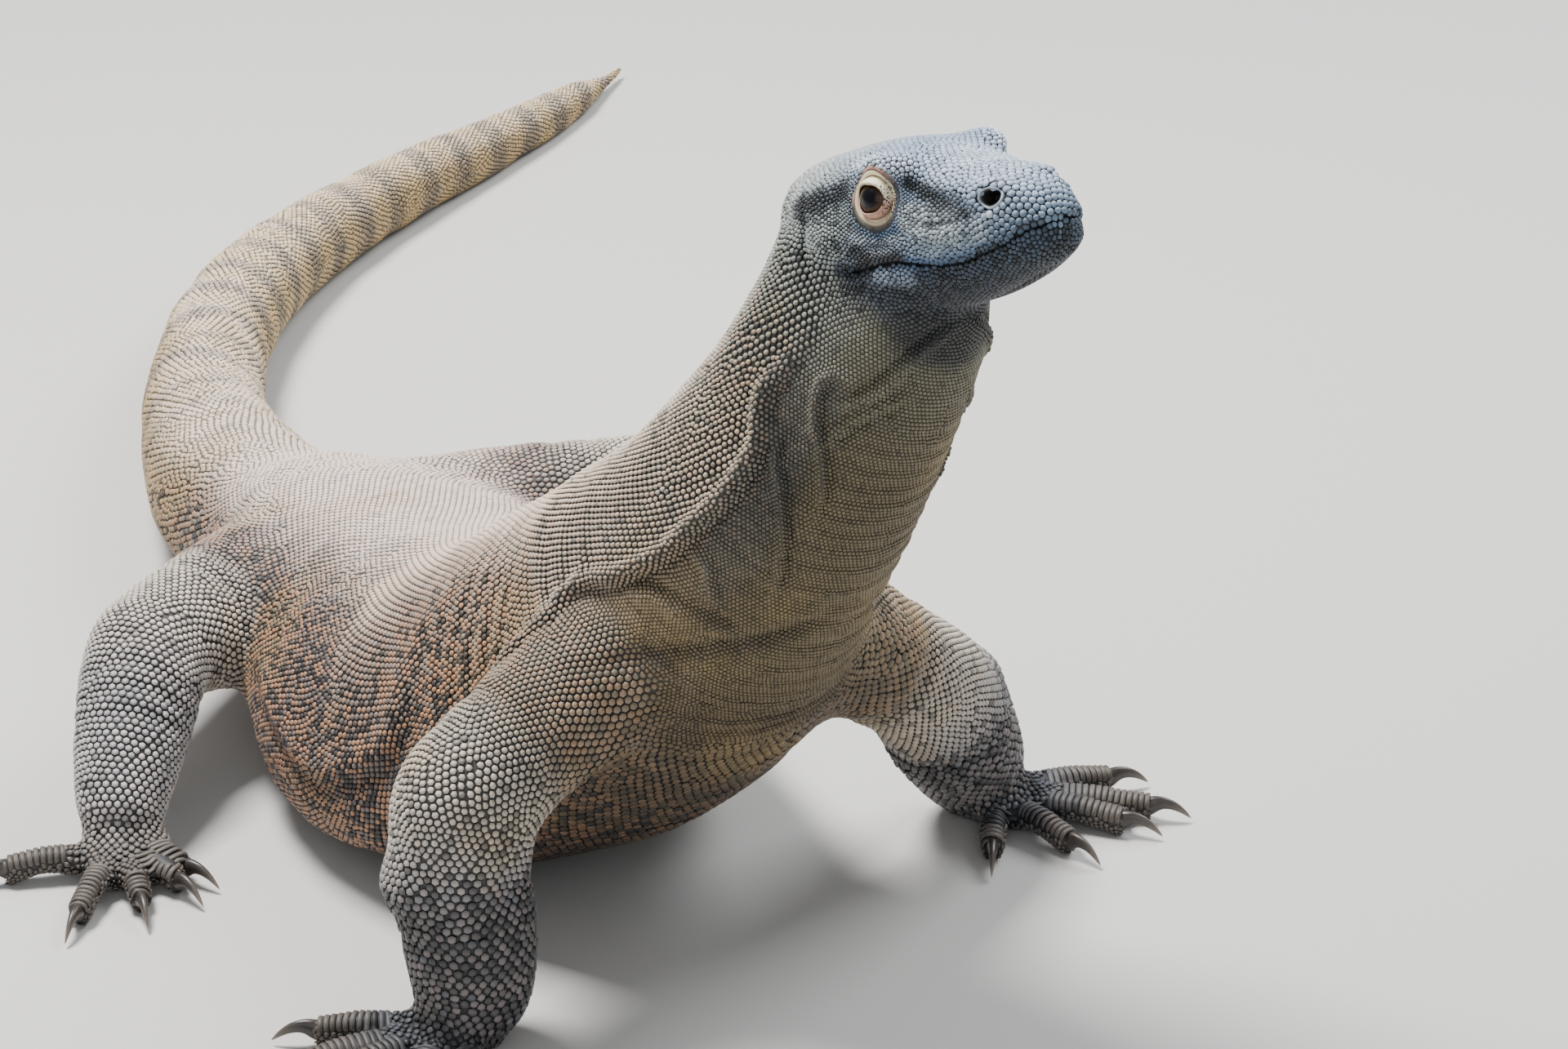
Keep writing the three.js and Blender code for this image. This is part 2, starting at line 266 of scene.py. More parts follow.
# where the faces are finer: how far round the eye, round the nose and from the mouth's line, in mm
FINE_EYE, FINE_NOSE, FINE_MOUTH = 32, 11, 6
# the tail's end: where it starts in metres, how far from its tip it thins and by how much, and how far it
# is drawn out over its last length, in mm
TAIL_FROM = 1.2
THIN_FROM, THINNED = 95, 0.72
DRAWN_FROM, DRAWN_OUT = 30, 6


def joined_flesh():
    """One mesh of all the flesh nodes, each swollen a hair so that it runs into its neighbours."""
    shell = bmesh.new()
    for name in FLESH:
        part = bmesh.new()
        part.from_mesh(NODES[name].data)
        bmesh.ops.remove_doubles(part, verts=part.verts, dist=0.01 * MM)
        part.normal_update()
        for corner in part.verts:
            corner.co += corner.normal * SWELL
        swollen = bpy.data.meshes.new("swollen")
        part.to_mesh(swollen)
        shell.from_mesh(swollen)
        part.free()
        bpy.data.meshes.remove(swollen)
    mesh = bpy.data.meshes.new("skin")
    shell.to_mesh(mesh)
    shell.free()
    return mesh


def alone(thing):
    """Makes one object the only one selected, and the active one."""
    bpy.ops.object.select_all(action="DESELECT")
    thing.select_set(True)
    bpy.context.view_layer.objects.active = thing


@contextmanager
def editing():
    """Edit mode on the active object, with all of its mesh selected."""
    bpy.ops.object.mode_set(mode="EDIT")
    bpy.ops.mesh.select_all(action="SELECT")
    yield
    bpy.ops.object.mode_set(mode="OBJECT")


def edges_of(mesh):
    flat = np.empty(len(mesh.edges) * 2, np.int32)
    mesh.edges.foreach_get("vertices", flat)
    return flat.reshape(-1, 2)


def soften(values, edges, rounds, strength=1.0):
    """Moves each corner's value towards the middle of its neighbours'."""
    count = len(values)
    links = np.bincount(edges.ravel(), minlength=count).clip(1)
    strength = np.broadcast_to(strength, count)
    shape = values.shape
    values = values.reshape(count, -1).copy()
    for _ in range(rounds):
        for k in range(values.shape[1]):
            column = values[:, k]
            total = np.bincount(edges[:, 0], column[edges[:, 1]], count)
            total += np.bincount(edges[:, 1], column[edges[:, 0]], count)
            values[:, k] = column + strength * (total / links - column)
    return values.reshape(shape)


def nearest_part(places):
    """The flesh node that each place belongs to."""
    corners, faces, owner = [], [], []
    for index, name in enumerate(FLESH):
        mesh = NODES[name].data
        start = len(corners)
        corners += [v.co.copy() for v in mesh.vertices]
        faces += [[start + i for i in face.vertices] for face in mesh.polygons]
        owner += [index] * len(mesh.polygons)
    tree = BVHTree.FromPolygons(corners, faces)
    return np.array([owner[tree.find_nearest(Vector(p))[2]] for p in places])


def is_part(part, *names):
    return np.isin(part, [FLESH.index(name) for name in names])


def refine(mesh, chosen):
    """Splits the faces whose corners are all chosen, each into four."""
    shell = bmesh.new()
    shell.from_mesh(mesh)
    shell.verts.ensure_lookup_table()
    picked = [f for f in shell.faces if all(chosen[v.index] for v in f.verts)]
    edges = list({e for f in picked for e in f.edges})
    bmesh.ops.subdivide_edges(shell, edges=edges, cuts=1, use_grid_fill=True, smooth=0.4)
    shell.to_mesh(mesh)
    shell.free()


def point_tail(places):
    """Draws the last of the tail in to a point, a little further out."""
    along, foot, tangent, _ = SPINE.nearest(places)
    left = (SPINE.length - along) / MM
    thin = 1 - THINNED * ramp(THIN_FROM, 0, left)
    on_tail = (along > TAIL_FROM)[:, None]
    out = ramp(DRAWN_FROM, 0, left) * DRAWN_OUT * MM
    drawn = foot + (places - foot) * thin[:, None] + tangent * out[:, None]
    return np.where(on_tail, drawn, places)


def make_skin():
    """One skin over all the flesh, smooth across its joins, and finer round the eyes, nose and mouth."""
    mesh = joined_flesh()
    skin = bpy.data.objects.new("skin", mesh)
    bpy.context.scene.collection.objects.link(skin)
    alone(skin)
    mesh.remesh_voxel_size = VOXEL
    bpy.ops.object.voxel_remesh()
    mesh = skin.data
    places = points_of(mesh)
    part = nearest_part(places)
    edges = edges_of(mesh)
    strength = soften(np.array([SMOOTHED.get(name, SMOOTHING) for name in FLESH])[part], edges, 8)
    places = point_tail(soften(places, edges, SMOOTH_ROUNDS, strength))
    mesh.vertices.foreach_set("co", places.ravel())
    refine(mesh, is_part(part, *SKULL))
    mesh.update()
    places = points_of(mesh)
    x, y, z = in_head(places).T / MM
    x = np.abs(x)
    near_eye = from_eye(y, z) < FINE_EYE
    near_nose = np.hypot(y - NOSTRIL_AT[0], z - 19) < FINE_NOSE
    near_mouth = (np.abs(above_mouth(y, z)) < FINE_MOUTH) & (y < -25)
    front = in_head(places)[:, 1] > -0.2
    refine(mesh, (x < 70) & front & (near_mouth | (x > 10) & (near_eye | near_nose)) & (y < 10))
    mesh.update()
    return skin


# ---------------------------------------------------------------- what lies where on the body

ACROSS, ALONG, HEIGHT, PLATE, KEEL = range(5)


class Ground:
    """The skin's surface with all that the scales and the finishes need to know at each corner."""

    def __init__(self, skin):
        mesh = skin.data
        self.mesh = mesh
        self.places = points_of(mesh)
        self.edges = edges_of(mesh)
        self.part = nearest_part(self.places)
        self.read_body()
        self.read_lie()

    def on(self, *names):
        return is_part(self.part, *names)

    def read_body(self):
        """Body coordinates: distance from the snout, turn round the body, and reach down a leg."""
        along, foot, tangent, _ = SPINE.nearest(self.places)
        arm = self.places - foot
        back = between(along, SPINE.distance, SPINE_BACK)
        back = unit(back - (back * tangent).sum(1)[:, None] * tangent)
        right = np.cross(tangent, back)
        turn = np.arctan2((arm * right).sum(1), (arm * back).sum(1)) / math.pi
        self.along = along
        self.turn = turn
        self.side = np.abs(turn)
        self.flow = tangent
        self.limb = np.zeros(len(along))
        self.toe = np.zeros(len(along))
        self.fore = np.zeros(len(along))
        for leg in LEGS:
            upper, lower, foot_part = (self.on(f"{leg}_{part}") for part in LIMB_PARTS)
            for held in (upper, lower):
                reach, _, lie, _ = LIMBS[leg].nearest(self.places[held])
                self.flow[held] = lie
                self.limb[held] = 0.75 * reach / LIMBS[leg].length
            self.fore[upper | lower | foot_part] = float(leg.startswith("fore"))
            spots = self.places[foot_part]
            owner, reach, _ = self.nearest_toe(leg, spots)
            for number in range(1, 6):
                self.centre_toe(leg, number, spots[owner == number], reach[owner == number])
            _, reach, lie = self.nearest_toe(leg, spots)
            self.flow[foot_part] = lie
            self.limb[foot_part] = 0.75 + 0.25 * reach
            self.toe[foot_part] = ramp(0.45, 0.7, reach)
        self.crease = np.zeros(len(self.places))
        self.head = in_head(self.places)
        skull = self.on(*SKULL)
        x, y, z = self.head[skull].T
        self.along[skull] = y + SNOUT * MM
        self.turn[skull] = np.arctan2(x, z - SKULL_MIDDLE * MM) / math.pi
        self.side[skull] = np.abs(self.turn[skull])
        self.flow[skull] = HEAD_AXES[1]
        meet = ramp(0.11, 0.15, self.along) * ramp(0.30, 0.24, self.along) * (self.limb < 0.05)
        for name in ("along", "side"):
            value = getattr(self, name)
            setattr(self, name, soften(value[:, None], self.edges, 30, 0.9 * meet)[:, 0])

    def nearest_toe(self, leg, spots):
        """The toe each place belongs to, its share of the way down it, and the way that toe points there."""
        best = np.full(len(spots), np.inf)
        owner = np.zeros(len(spots), int)
        reach = np.zeros(len(spots))
        lie = np.zeros((len(spots), 3))
        for number in range(1, 6):
            toe = TOES[leg, number]
            d, _, t, gap = toe.nearest(spots)
            closer = gap < best
            best[closer] = gap[closer]
            lie[closer] = t[closer]
            reach[closer] = (d / toe.length)[closer]
            owner[closer] = number
        return owner, reach, lie

    def centre_toe(self, leg, number, spots, reach):
        """Moves a toe's line into the middle of the toe."""
        old = TOES[leg, number]
        stops = [old.points[0]]
        for low in np.arange(0.35, 0.95, 0.1):
            held = (reach >= low) & (reach < low + 0.1)
            if held.sum() > 8:
                stops.append(spots[held].mean(axis=0))
        TOES[leg, number] = Line([*stops, old.points[-1]], 24)

    def read_lie(self):
        """The way the scales point, laid smoothly over the whole skin."""
        normals = np.empty(len(self.places) * 3)
        self.mesh.vertex_normals.foreach_get("vector", normals)
        self.normals = unit(soften(normals.reshape(-1, 3), self.edges, 2))
        flow = unit(soften(self.flow, self.edges, 24))
        flow -= (flow * self.normals).sum(1)[:, None] * self.normals
        self.flow = unit(soften(unit(flow), self.edges, 6))
        self.limb = soften(self.limb, self.edges, 10)

    def write(self):
        """Puts moved places back into the mesh, and reads the lie of the scales again."""
        self.mesh.vertices.foreach_set("co", self.places.ravel())
        self.mesh.update()
        self.read_lie()

    def beside(self, stops, width):
        """1 along a line of places on both sides of the head, in mm, fading to 0 past the width."""
        spots = self.head / MM
        spots[:, 0] = np.abs(spots[:, 0])
        best = np.full(len(spots), np.inf)
        stops = np.array(stops, float)
        for start, end in zip(stops[:-1], stops[1:]):
            step = end - start
            t = np.clip((spots - start) @ step / (step @ step), 0, 1)
            best = np.minimum(best, np.linalg.norm(spots - start - t[:, None] * step, axis=1))
        return ramp(1.35 * width, 0.55 * width, best)

    def below_ridge(self):
        """1 on the throat's side of the ridge along the neck, 0 on the nape's."""
        edge = np.interp(self.along / MM, *RIDGE)
        return ramp(edge - 0.01, edge + 0.035, self.side)

    def scale_sizes(self):
        """Each kind of scale with its width, length, height, flatness and keel, mixed by where it grows."""
        head, jaw, neck = self.on("head"), self.on("lower_jaw"), self.on("neck")
        tail = self.on(*TAIL)
        leg = self.limb > 0.1
        foot = self.limb > 0.75
        trunk = ~(head | jaw | leg | tail)
        _, y, z = self.head.T / MM
        side = self.side
        throat = neck * self.below_ridge()
        nape = neck * (1 - throat)
        eye = from_eye(y, z)
        forelimb = leg * ~foot * self.fore
        hindlimb = leg * ~foot * (1 - self.fore)
        kinds = [
            (head * ramp(-120, -150, y) * 2, (4.9, 4.7, 0.5, 1.0, 0)),
            (head * ramp(-70, -110, y) * ramp(8, 22, z), (4.1, 4.0, 0.5, 1.0, 0)),
            (head * ramp(-70, -110, y) * ramp(22, 8, z), (3.5, 3.7, 0.5, 1.0, 0)),
            (head * ramp(-100, -60, y) * ramp(20, 32, z), (3.5, 3.4, 0.6, 0.75, 0)),
            (head * ramp(-100, -60, y) * ramp(32, 20, z), (2.6, 2.6, 0.6, 0.3, 0)),
            (head * 5 * ramp(31, 21, eye) * ramp(38, 30, z), (1.9, 1.9, 0.4, 0.2, 0)),
            (head * 3 * self.beside(BELOW_CANTHUS, 4.5), (2.5, 2.5, 0.5, 0.3, 0)),
            (head * 3 * self.beside(LOREAL, 8), (2.9, 2.9, 0.35, 1.0, 0)),
            (jaw * 1.0, (3.0, 3.0, 0.45, 0.7, 0)),
            (nape, (4.4, 4.5, 1.5, -0.2, 0)),
            (throat, (2.6, 2.5, 0.35, 0.5, 0)),
            (trunk * ~neck * ramp(0.45, 0.3, side), (4.3, 4.4, 0.7, 0.5, 0.2)),
            (trunk * ~neck * ramp(0.3, 0.45, side) * ramp(0.75, 0.55, side), (3.9, 3.9, 0.75, 0.45, 0.1)),
            (trunk * ~neck * ramp(0.55, 0.75, side), (6.2, 5.0, 0.5, 0.9, 0)),
            (tail * ramp(1.7, 1.2, self.along), (5.0, 6.4, 0.8, 0.8, 0.6)),
            (tail * ramp(1.2, 1.7, self.along), (3.8, 4.8, 0.6, 0.8, 0.6)),
            (tail * 3 * ramp(2.0, 2.1, self.along), (2.6, 3.4, 0.4, 0.8, 0.6)),
            (leg * ~foot * ramp(0.45, 0.25, self.limb), (5.1, 4.3, 1.1, 0.45, 0)),
            (forelimb * ramp(0.25, 0.42, self.limb), (7.2, 4.9, 1.1, 0.7, 0)),
            (hindlimb * ramp(0.25, 0.45, self.limb), (5.6, 4.5, 1.0, 0.5, 0)),
            (foot * (1 - self.toe), (6.0, 3.7, 0.9, 0.9, 0)),
            (foot * self.toe, (3.8, 3.4, 0.6, 0.7, 0)),
        ]
        weights = np.stack([k[0] for k in kinds], axis=1) + 1e-6
        table = np.array([k[1] for k in kinds])
        table[:, :3] *= MM
        sizes = weights @ table / weights.sum(1, keepdims=True)
        uneven = 1 + (0.04 + 0.1 * head + 0.05 * leg) * lattice_noise(self.places, 0.008, 21)
        sizes[:, :2] *= uneven[:, None]
        return soften(sizes, self.edges, 8, 1 - 0.7 * self.toe)

    def paint(self):
        """How strong each marking is at every corner: two sets of layers, among them painted highlight and
        painted shade, and the colour of the seams.
        """
        head, jaw, neck = self.on("head"), self.on("lower_jaw"), self.on("neck")
        tail = ramp(1.0, 1.15, self.along)
        leg = ramp(0.03, 0.12, self.limb)
        body = ramp(0.17, 0.24, self.along) * (1 - leg)
        side = self.side
        _, y, z = self.head.T / MM
        top = 1 - ramp(0.15, 0.36, side)
        flank = ramp(0.25, 0.4, side) * ramp(0.8, 0.6, side)
        belly = ramp(0.6, 0.8, side)
        snout = head * ramp(-60, -95, y)
        crown = head * ramp(20, 34, z)
        cheek = head * ramp(-52, -35, y) * ramp(34, 22, z)
        throat = neck * self.below_ridge()
        nape = neck * (1 - throat)
        trunk = body * (1 - tail) * ramp(0.42, 0.5, self.along)
        hips = ramp(0.62, 0.8, self.along)
        forearm = leg * self.fore * ramp(0.25, 0.42, self.limb) * ramp(0.95, 0.8, self.limb)
        shin = leg * (1 - self.fore) * ramp(0.2, 0.4, self.limb) * ramp(0.8, 0.6, self.limb)
        wrinkled = self.beside(BEHIND_EYE, 7.5)
        canthus = self.beside(BELOW_CANTHUS, 4.5) * head
        loreal = self.beside(LOREAL, 8) * head
        upper_lip = self.beside(LIP, 5) * head
        rim_pale = self.beside(NOSE_LEDGE, 1.8) * head
        brow = self.beside(BROW, 4.6) * head
        under_eye = self.beside(UNDER_EYE, 3.4) * head
        corner = self.beside(MOUTH_CORNER, 4.5)
        bulge = self.beside(RICTUS, 6.0)
        hinge = self.beside(BEHIND_CORNER, 9)
        chin = jaw * ramp(-135, -155, y)
        bright = (1 - wrinkled) * (1 - canthus)
        above_foot = leg * ramp(0.85, 0.7, self.limb)
        # The pale layer: real pale marks on the brow, round the eye and nose, on the cheeks, the nape and
        # above the feet, and painted highlight on the tops of the snout, crown, back and tail.
        dust_and_highlight = (0.22 * crown * bright + 0.4 * snout * ramp(8, 30, z) * bright + 0.75 * rim_pale + brow
                + 0.75 * under_eye + 0.34 * loreal + 0.2 * upper_lip + 0.16 * cheek * bright
                + 0.36 * trunk * top * (0.6 + 0.4 * hips) + 0.36 * tail * top
                + 0.3 * nape * ramp(0.2, 0.28, self.along)
                + above_foot * (0.12 + 0.3 * (1 - self.fore)) + 0.25 * bulge)
        armpit = bump(0.53, 0.06, self.along) * ramp(0.4, 0.55, side) * (1 - leg)
        rust = (body * (0.34 - 0.22 * throat + 0.12 * nape + 0.36 * trunk * flank)
                * (1 - 0.5 * tail) * (1 - 0.8 * belly)
                + 0.03 * jaw * ramp(-16, -26, z) + 0.12 * leg * ramp(0.85, 0.7, self.limb) + 0.3 * armpit)
        ink = (0.75 * canthus + 0.62 * loreal + 0.2 * upper_lip + 0.34 * cheek + 0.75 * wrinkled
               + 0.45 * under_eye + 0.5 * hinge + 0.3 * jaw + 0.12 * nape + 0.06 * throat
               + 0.32 * trunk * flank + 0.2 * trunk * belly + 0.1 * leg * ramp(0.85, 0.7, self.limb)
               + 0.42 * forearm + 0.07 * tail + 0.05 * trunk * top + 0.04)
        gap = (0.02 * head + 0.12 * jaw + 0.06 * nape + 0.35 * throat + trunk * (0.34 * top + 0.1 * flank)
               + 0.2 * trunk * belly + 0.25 * tail + 0.08 * leg)
        sage = 0.85 * loreal + 0.6 * cheek + 0.3 * upper_lip + 0.4 * under_eye
        # The throat's hollows between its cords, which the slate layer darkens as painted shade.
        hollows = throat * ramp(0.78, 0.68, side) * bump(0.27, 0.07, self.along)
        # Slate: the real blue-grey of the bands by the eye, the jaw, the hinge, the forearms and shins, and
        # painted shade in the throat's hollows.
        slate_and_shade = (0.9 * canthus + 0.95 * wrinkled + 0.75 * jaw * (1 - 0.35 * chin) * (1 - bulge)
                 + 0.6 * hinge + 0.6 * hollows + 0.95 * forearm + 0.12 * shin)
        # Umber: brown at the mouth's corner, under the jaw, on the lower flank and under the neck, and on the
        # belly, where it is also painted shade under the body.
        umber_and_shade = (0.85 * corner + 0.3 * hinge + 0.6 * jaw * ramp(-20, -30, z) * ramp(-120, -90, y)
                 + 0.7 * trunk * belly + 0.15 * trunk * flank * ramp(0.4, 0.6, side)
                 + 0.25 * neck * ramp(0.72, 0.9, side))
        # The crease layer, last, marks painted shade in the creases and hollows.
        marks = np.stack([dust_and_highlight, rust, ink, np.minimum(gap, 0.7), sage, slate_and_shade, umber_and_shade, self.crease], axis=1)
        return np.clip(soften(marks, self.edges, 5), 0, 1)


# places on the head, in its own axes, that have their own scales or colour
BELOW_CANTHUS = ((34, -83, 31), (28.5, -92, 26), (27.7, -104, 21), (28, -118, 15.5), (28, -127, 12))
LOREAL = ((35, -84, 12), (32, -96, 10), (30, -112, 10))
LIP = ((36.5, -83, -2), (33.6, -98, -3), (32, -112, 1), (27, -135, 4))
NOSE_LEDGE = ((31, -106, 7), (28, -123, 10), (24.8, -142, 11.5), (19, -152, 13))
BROW = ((28, -36, 42), (36, -58, 42), (36.3, -72, 42), (32, -82, 39))
BEHIND_EYE = ((42.7, -35, 28), (48, -20, 24.5), (50, -4, 20.5))
UNDER_EYE = ((46, -44, 5), (43.5, -52, 0), (41, -60, -1.5), (38.5, -76, 1))
MOUTH_CORNER = ((38.5, -74, -8), (42, -58, -7), (45, -45, -8), (46, -38, -12))
RICTUS = ((42, -57, -16), (39.5, -66, -18), (37.5, -74, -19))
BEHIND_CORNER = ((46.5, -44, -2), (47, -40, -14), (47, -36, -24))


# ---------------------------------------------------------------- folds, lips and brows

def lattice_noise(places, size, seed):
    """Smooth random values between -1 and 1, that change over about the given size."""
    spots = places / size
    base = np.floor(spots).astype(np.int64)
    t = spots - base
    t = t * t * (3 - 2 * t)
    total = np.zeros(len(places))
    for corner in np.ndindex(2, 2, 2):
        c = base + corner
        mixed = (c[:, 0] * 73856093) ^ (c[:, 1] * 19349663) ^ (c[:, 2] * 83492791) ^ (seed * 2654435761)
        mixed = (mixed ^ (mixed >> 13)) * 1274126177
        value = ((mixed ^ (mixed >> 16)) & 0xFFFF) / 32767.5 - 1
        total += value * np.prod(np.where(corner, t, 1 - t), axis=1)
    return total


# where the neck's beads end at the ridge over the throat: distance from the snout in mm, turn from the spine
RIDGE = ((170, 196, 215, 232, 243, 255, 270, 285, 301, 318, 335, 349, 377, 396, 420),
         (0.52, 0.55, 0.53, 0.505, 0.54, 0.585, 0.578, 0.576, 0.556, 0.54, 0.53, 0.525, 0.497, 0.455, 0.44))

# each fold: its points as (distance from the snout in mm, turn from the spine towards the belly),
# then its half width and height in mm; the same on both sides
FOLDS = {
    "neck edge": (tuple(zip(*RIDGE))[1:], 4.6, 7.0),
    "cord behind the jaw": (
        ((237, 0.575), (252, 0.614), (265, 0.67), (282, 0.714), (298, 0.748), (322, 0.78)), 2.8, 4.4),
    "cord below the jaw": (
        ((202, 0.735), (201, 0.69), (208, 0.65), (218, 0.667), (230, 0.695), (244, 0.745), (262, 0.78),
         (284, 0.785)), 2.6, 4.2),
    "lower pleat": (((196, 0.90), (210, 0.82), (225, 0.762), (238, 0.74)), 3.0, 2.6),
    "chest cord": (((322, 0.605), (330, 0.64), (340, 0.676)), 3.0, 3.2),
    "chest pleat": (((378, 0.53), (356, 0.6), (350, 0.68), (345, 0.76)), 4.5, 3.6),
    "gular fold": (((322, 0.94), (335, 0.86), (352, 0.76), (380, 0.66), (410, 0.58)), 5.5, -4.0),
    "shoulder pleat": (((400, 0.45), (425, 0.47), (450, 0.5), (472, 0.56)), 5.0, 3.4),
    "flank fold": (((560, 0.42), (600, 0.47), (650, 0.48), (700, 0.47), (760, 0.45)), 9.0, 4.0),
    "lower flank fold": (((600, 0.56), (650, 0.6), (700, 0.6), (750, 0.57)), 8.0, 2.6),
}
# where the throat sinks between its cords: distance from the snout in mm, turn, reach both ways, depth in mm
SINKS = ((241, 0.64, 16, 0.035, 3.4), (262, 0.72, 20, 0.03, 2.6), (294, 0.655, 22, 0.05, 3.8),
         (330, 0.72, 26, 0.05, 2.4))


class Sculpt:
    """Moves the skin's corners along their normals, and remembers where it made creases, to be painted in
    shade.
    """

    def __init__(self, ground):
        self.ground = ground
        self.lift = np.zeros(len(ground.places))
        self.crease = np.zeros(len(ground.places))

    def stroke(self, stops, width, height, undercut=0.0):
        """A ridge or a groove along a line of places, with a narrow crease on its lower side if asked."""
        ground = self.ground
        line = Line(stops, 4 * len(stops) + 4)
        low, high = line.points.min(0) - 4 * width, line.points.max(0) + 4 * width
        near = np.flatnonzero(np.all((ground.places > low) & (ground.places < high), axis=1))
        along, foot, tangent, gap = line.nearest(ground.places[near])
        fade = max(2.5 * width, 0.2 * line.length)
        ends = ramp(0, fade, along) * ramp(line.length, line.length - fade, along)
        beyond = bump(0, width, gap) * (0.25 + 0.75 * ends)
        self.lift[near] += height * beyond
        if height < 0:
            self.crease[near] = np.maximum(self.crease[near], beyond)
        if undercut:
            across = np.cross(tangent, ground.normals[near])
            signed = ((ground.places[near] - foot) * across).sum(1) * undercut
            # the narrow crease under a ridge is marked for a painted shadow
            cut = bump(1.5 * width, 0.7 * width, signed) * (gap < 2.6 * width) * ends
            self.lift[near] -= 0.45 * abs(height) * cut
            self.crease[near] = np.maximum(self.crease[near], cut)

    def apply(self):
        """Lifts the corners, above the floor, and marks what lies in a hollow as creased too, so that it is
        painted in shade.
        """
        ground = self.ground
        hollow = ramp(0.4 * MM, 3.0 * MM, soften(self.lift, ground.edges, 14) - self.lift)
        ground.crease = np.clip(np.maximum(self.crease, 0.8 * hollow), 0, 1)
        ground.places = ground.places + ground.normals * self.lift[:, None]
        ground.places[:, 2] = np.maximum(ground.places[:, 2], FLOOR_GAP)
        ground.write()


def body_place(ground, along, turn):
    """The corner nearest to a distance from the snout and a turn from the spine, off the legs."""
    off_limb = (ground.limb > 0.03) * 10.0
    miss = np.abs(ground.along - along * MM) / 0.25 + np.abs(ground.turn - turn) + off_limb
    return ground.places[np.argmin(miss)]


def fold_neck(sculpt):
    """The folds and cords of neck and throat, the throat's fine wrinkles, and ripples over the trunk."""
    ground = sculpt.ground
    for stops, width, height in FOLDS.values():
        for side in (-1, 1):
            line = [body_place(ground, along, turn * side) for along, turn in stops]
            sculpt.stroke(line, width * MM, height * MM, undercut=side if height > 0 else 0)
    off_leg = ramp(0.05, 0.0, ground.limb) * ~ground.on(*SKULL)
    for along, turn, reach, turn_reach, depth in SINKS:
        sink = bump(along * MM, reach * MM, ground.along) * bump(turn, turn_reach, ground.side)
        sculpt.lift -= depth * MM * sink * off_leg
    throat = ramp(0.5, 0.62, ground.side) * ground.on("neck") * ramp(0.2, 0.23, ground.along)
    wave = np.sin(ground.along / MM * 0.62 + 2.2 * lattice_noise(ground.places, 0.03, 5))
    sculpt.lift += throat * wave * 0.5 * MM
    ripple = np.sin(ground.along / MM * 0.42 + 3.0 * lattice_noise(ground.places, 0.05, 6))
    ripple = ripple * (0.5 + 0.5 * lattice_noise(ground.places, 0.06, 7))
    shoulder = ramp(0.36, 0.42, ground.along) * ramp(0.62, 0.5, ground.along) * ramp(0.2, 0.4, ground.side)
    sculpt.lift += (0.3 + shoulder) * off_leg * ripple * 0.8 * MM


# creases round each limb: reach down the limb, half width, depth in mm
LIMB_CREASES = ((0.08, 0.02, 2.4), (0.14, 0.014, 1.6), (0.39, 0.012, 1.8), (0.43, 0.011, 2.2),
                (0.47, 0.012, 1.8), (0.70, 0.009, 1.5), (0.735, 0.009, 2.0), (0.77, 0.009, 1.4))


def crease_limbs(sculpt):
    """Creases round the limbs' joints, the point of each elbow and the front of each knee."""
    ground = sculpt.ground
    on_leg = ramp(0.03, 0.07, ground.limb)
    wander = ground.limb + 0.02 * lattice_noise(ground.places, 0.03, 11)
    for reach, width, depth in LIMB_CREASES:
        groove = bump(reach, width, wander) * on_leg * (0.6 + 0.4 * lattice_noise(ground.places, 0.04, 12))
        sculpt.lift -= depth * MM * groove
        # each joint's groove is marked for painted shade
        sculpt.crease = np.maximum(sculpt.crease, 0.8 * groove)
    outward = np.sign(ground.places[:, 0])
    behind = 0.75 * ground.normals[:, 0] * outward + 0.65 * ground.normals[:, 1]
    knob = on_leg * ground.fore * bump(0.37, 0.05, ground.limb)
    sculpt.lift += MM * knob * (7.0 * ramp(0.2, 0.95, behind) - 3.0 * ramp(0.0, -0.8, behind))
    kneecap = on_leg * (1 - ground.fore) * bump(0.38, 0.06, ground.limb)
    sculpt.lift += 3.0 * MM * kneecap * ramp(0.2, 0.9, -ground.normals[:, 1])


# ridges and grooves on both sides of the head: their points in the head's axes, half width and height, in mm
HEAD_STROKES = {
    "brow": (((33, -42, 34), (35, -54, 40), (34.5, -66, 41.5), (31.5, -82, 38)), 4.5, 2.2),
    "edge of the snout": (((31.5, -82, 38), (27, -98, 31), (27, -114, 26), (25, -127, 26)), 4.0, 1.5),
    "hollow before the eye": (((34, -86, 26), (29, -102, 19), (29, -120, 15)), 6.0, -1.5),
    "groove over the lip": (
        ((26.5, -135, 11.5), (30, -118, 9.5), (32.5, -105, 7.5), (35.5, -88, 7)), 1.7, -1.3),
    "upper lip": (((27, -133, 7), (31, -116, 4.5), (34, -100, 2.5), (37, -84, 2)), 3.2, 0.9),
    "groove behind the cheek": (((51, -10, 20), (54.5, -5, -3), (55.5, -16, -22)), 3.4, -2.2),
    "cheek": (((48, -40, 12), (52, -22, 2), (54, -14, -12)), 8.0, 1.6),
    "crease over the mouth's corner": (((36, -72, -2), (42, -56, -1), (46, -42, -2)), 2.0, -1.0),
    "cord across the throat": (
        ((5, -67, -53), (14, -64, -55), (29.7, -55, -64), (43.4, -41.3, -79), (54, -30, -84), (62, -22, -82)),
        2.8, 3.8),
    "groove before the cord": (
        ((5, -66, -48), (15, -62, -50), (31, -53, -59.5), (45, -39, -74), (56, -27, -79)), 1.8, -2.8),
    "groove under the chin": (((0, -150, -23), (0, -120, -32), (0, -90, -38)), 3.0, -1.0),
}


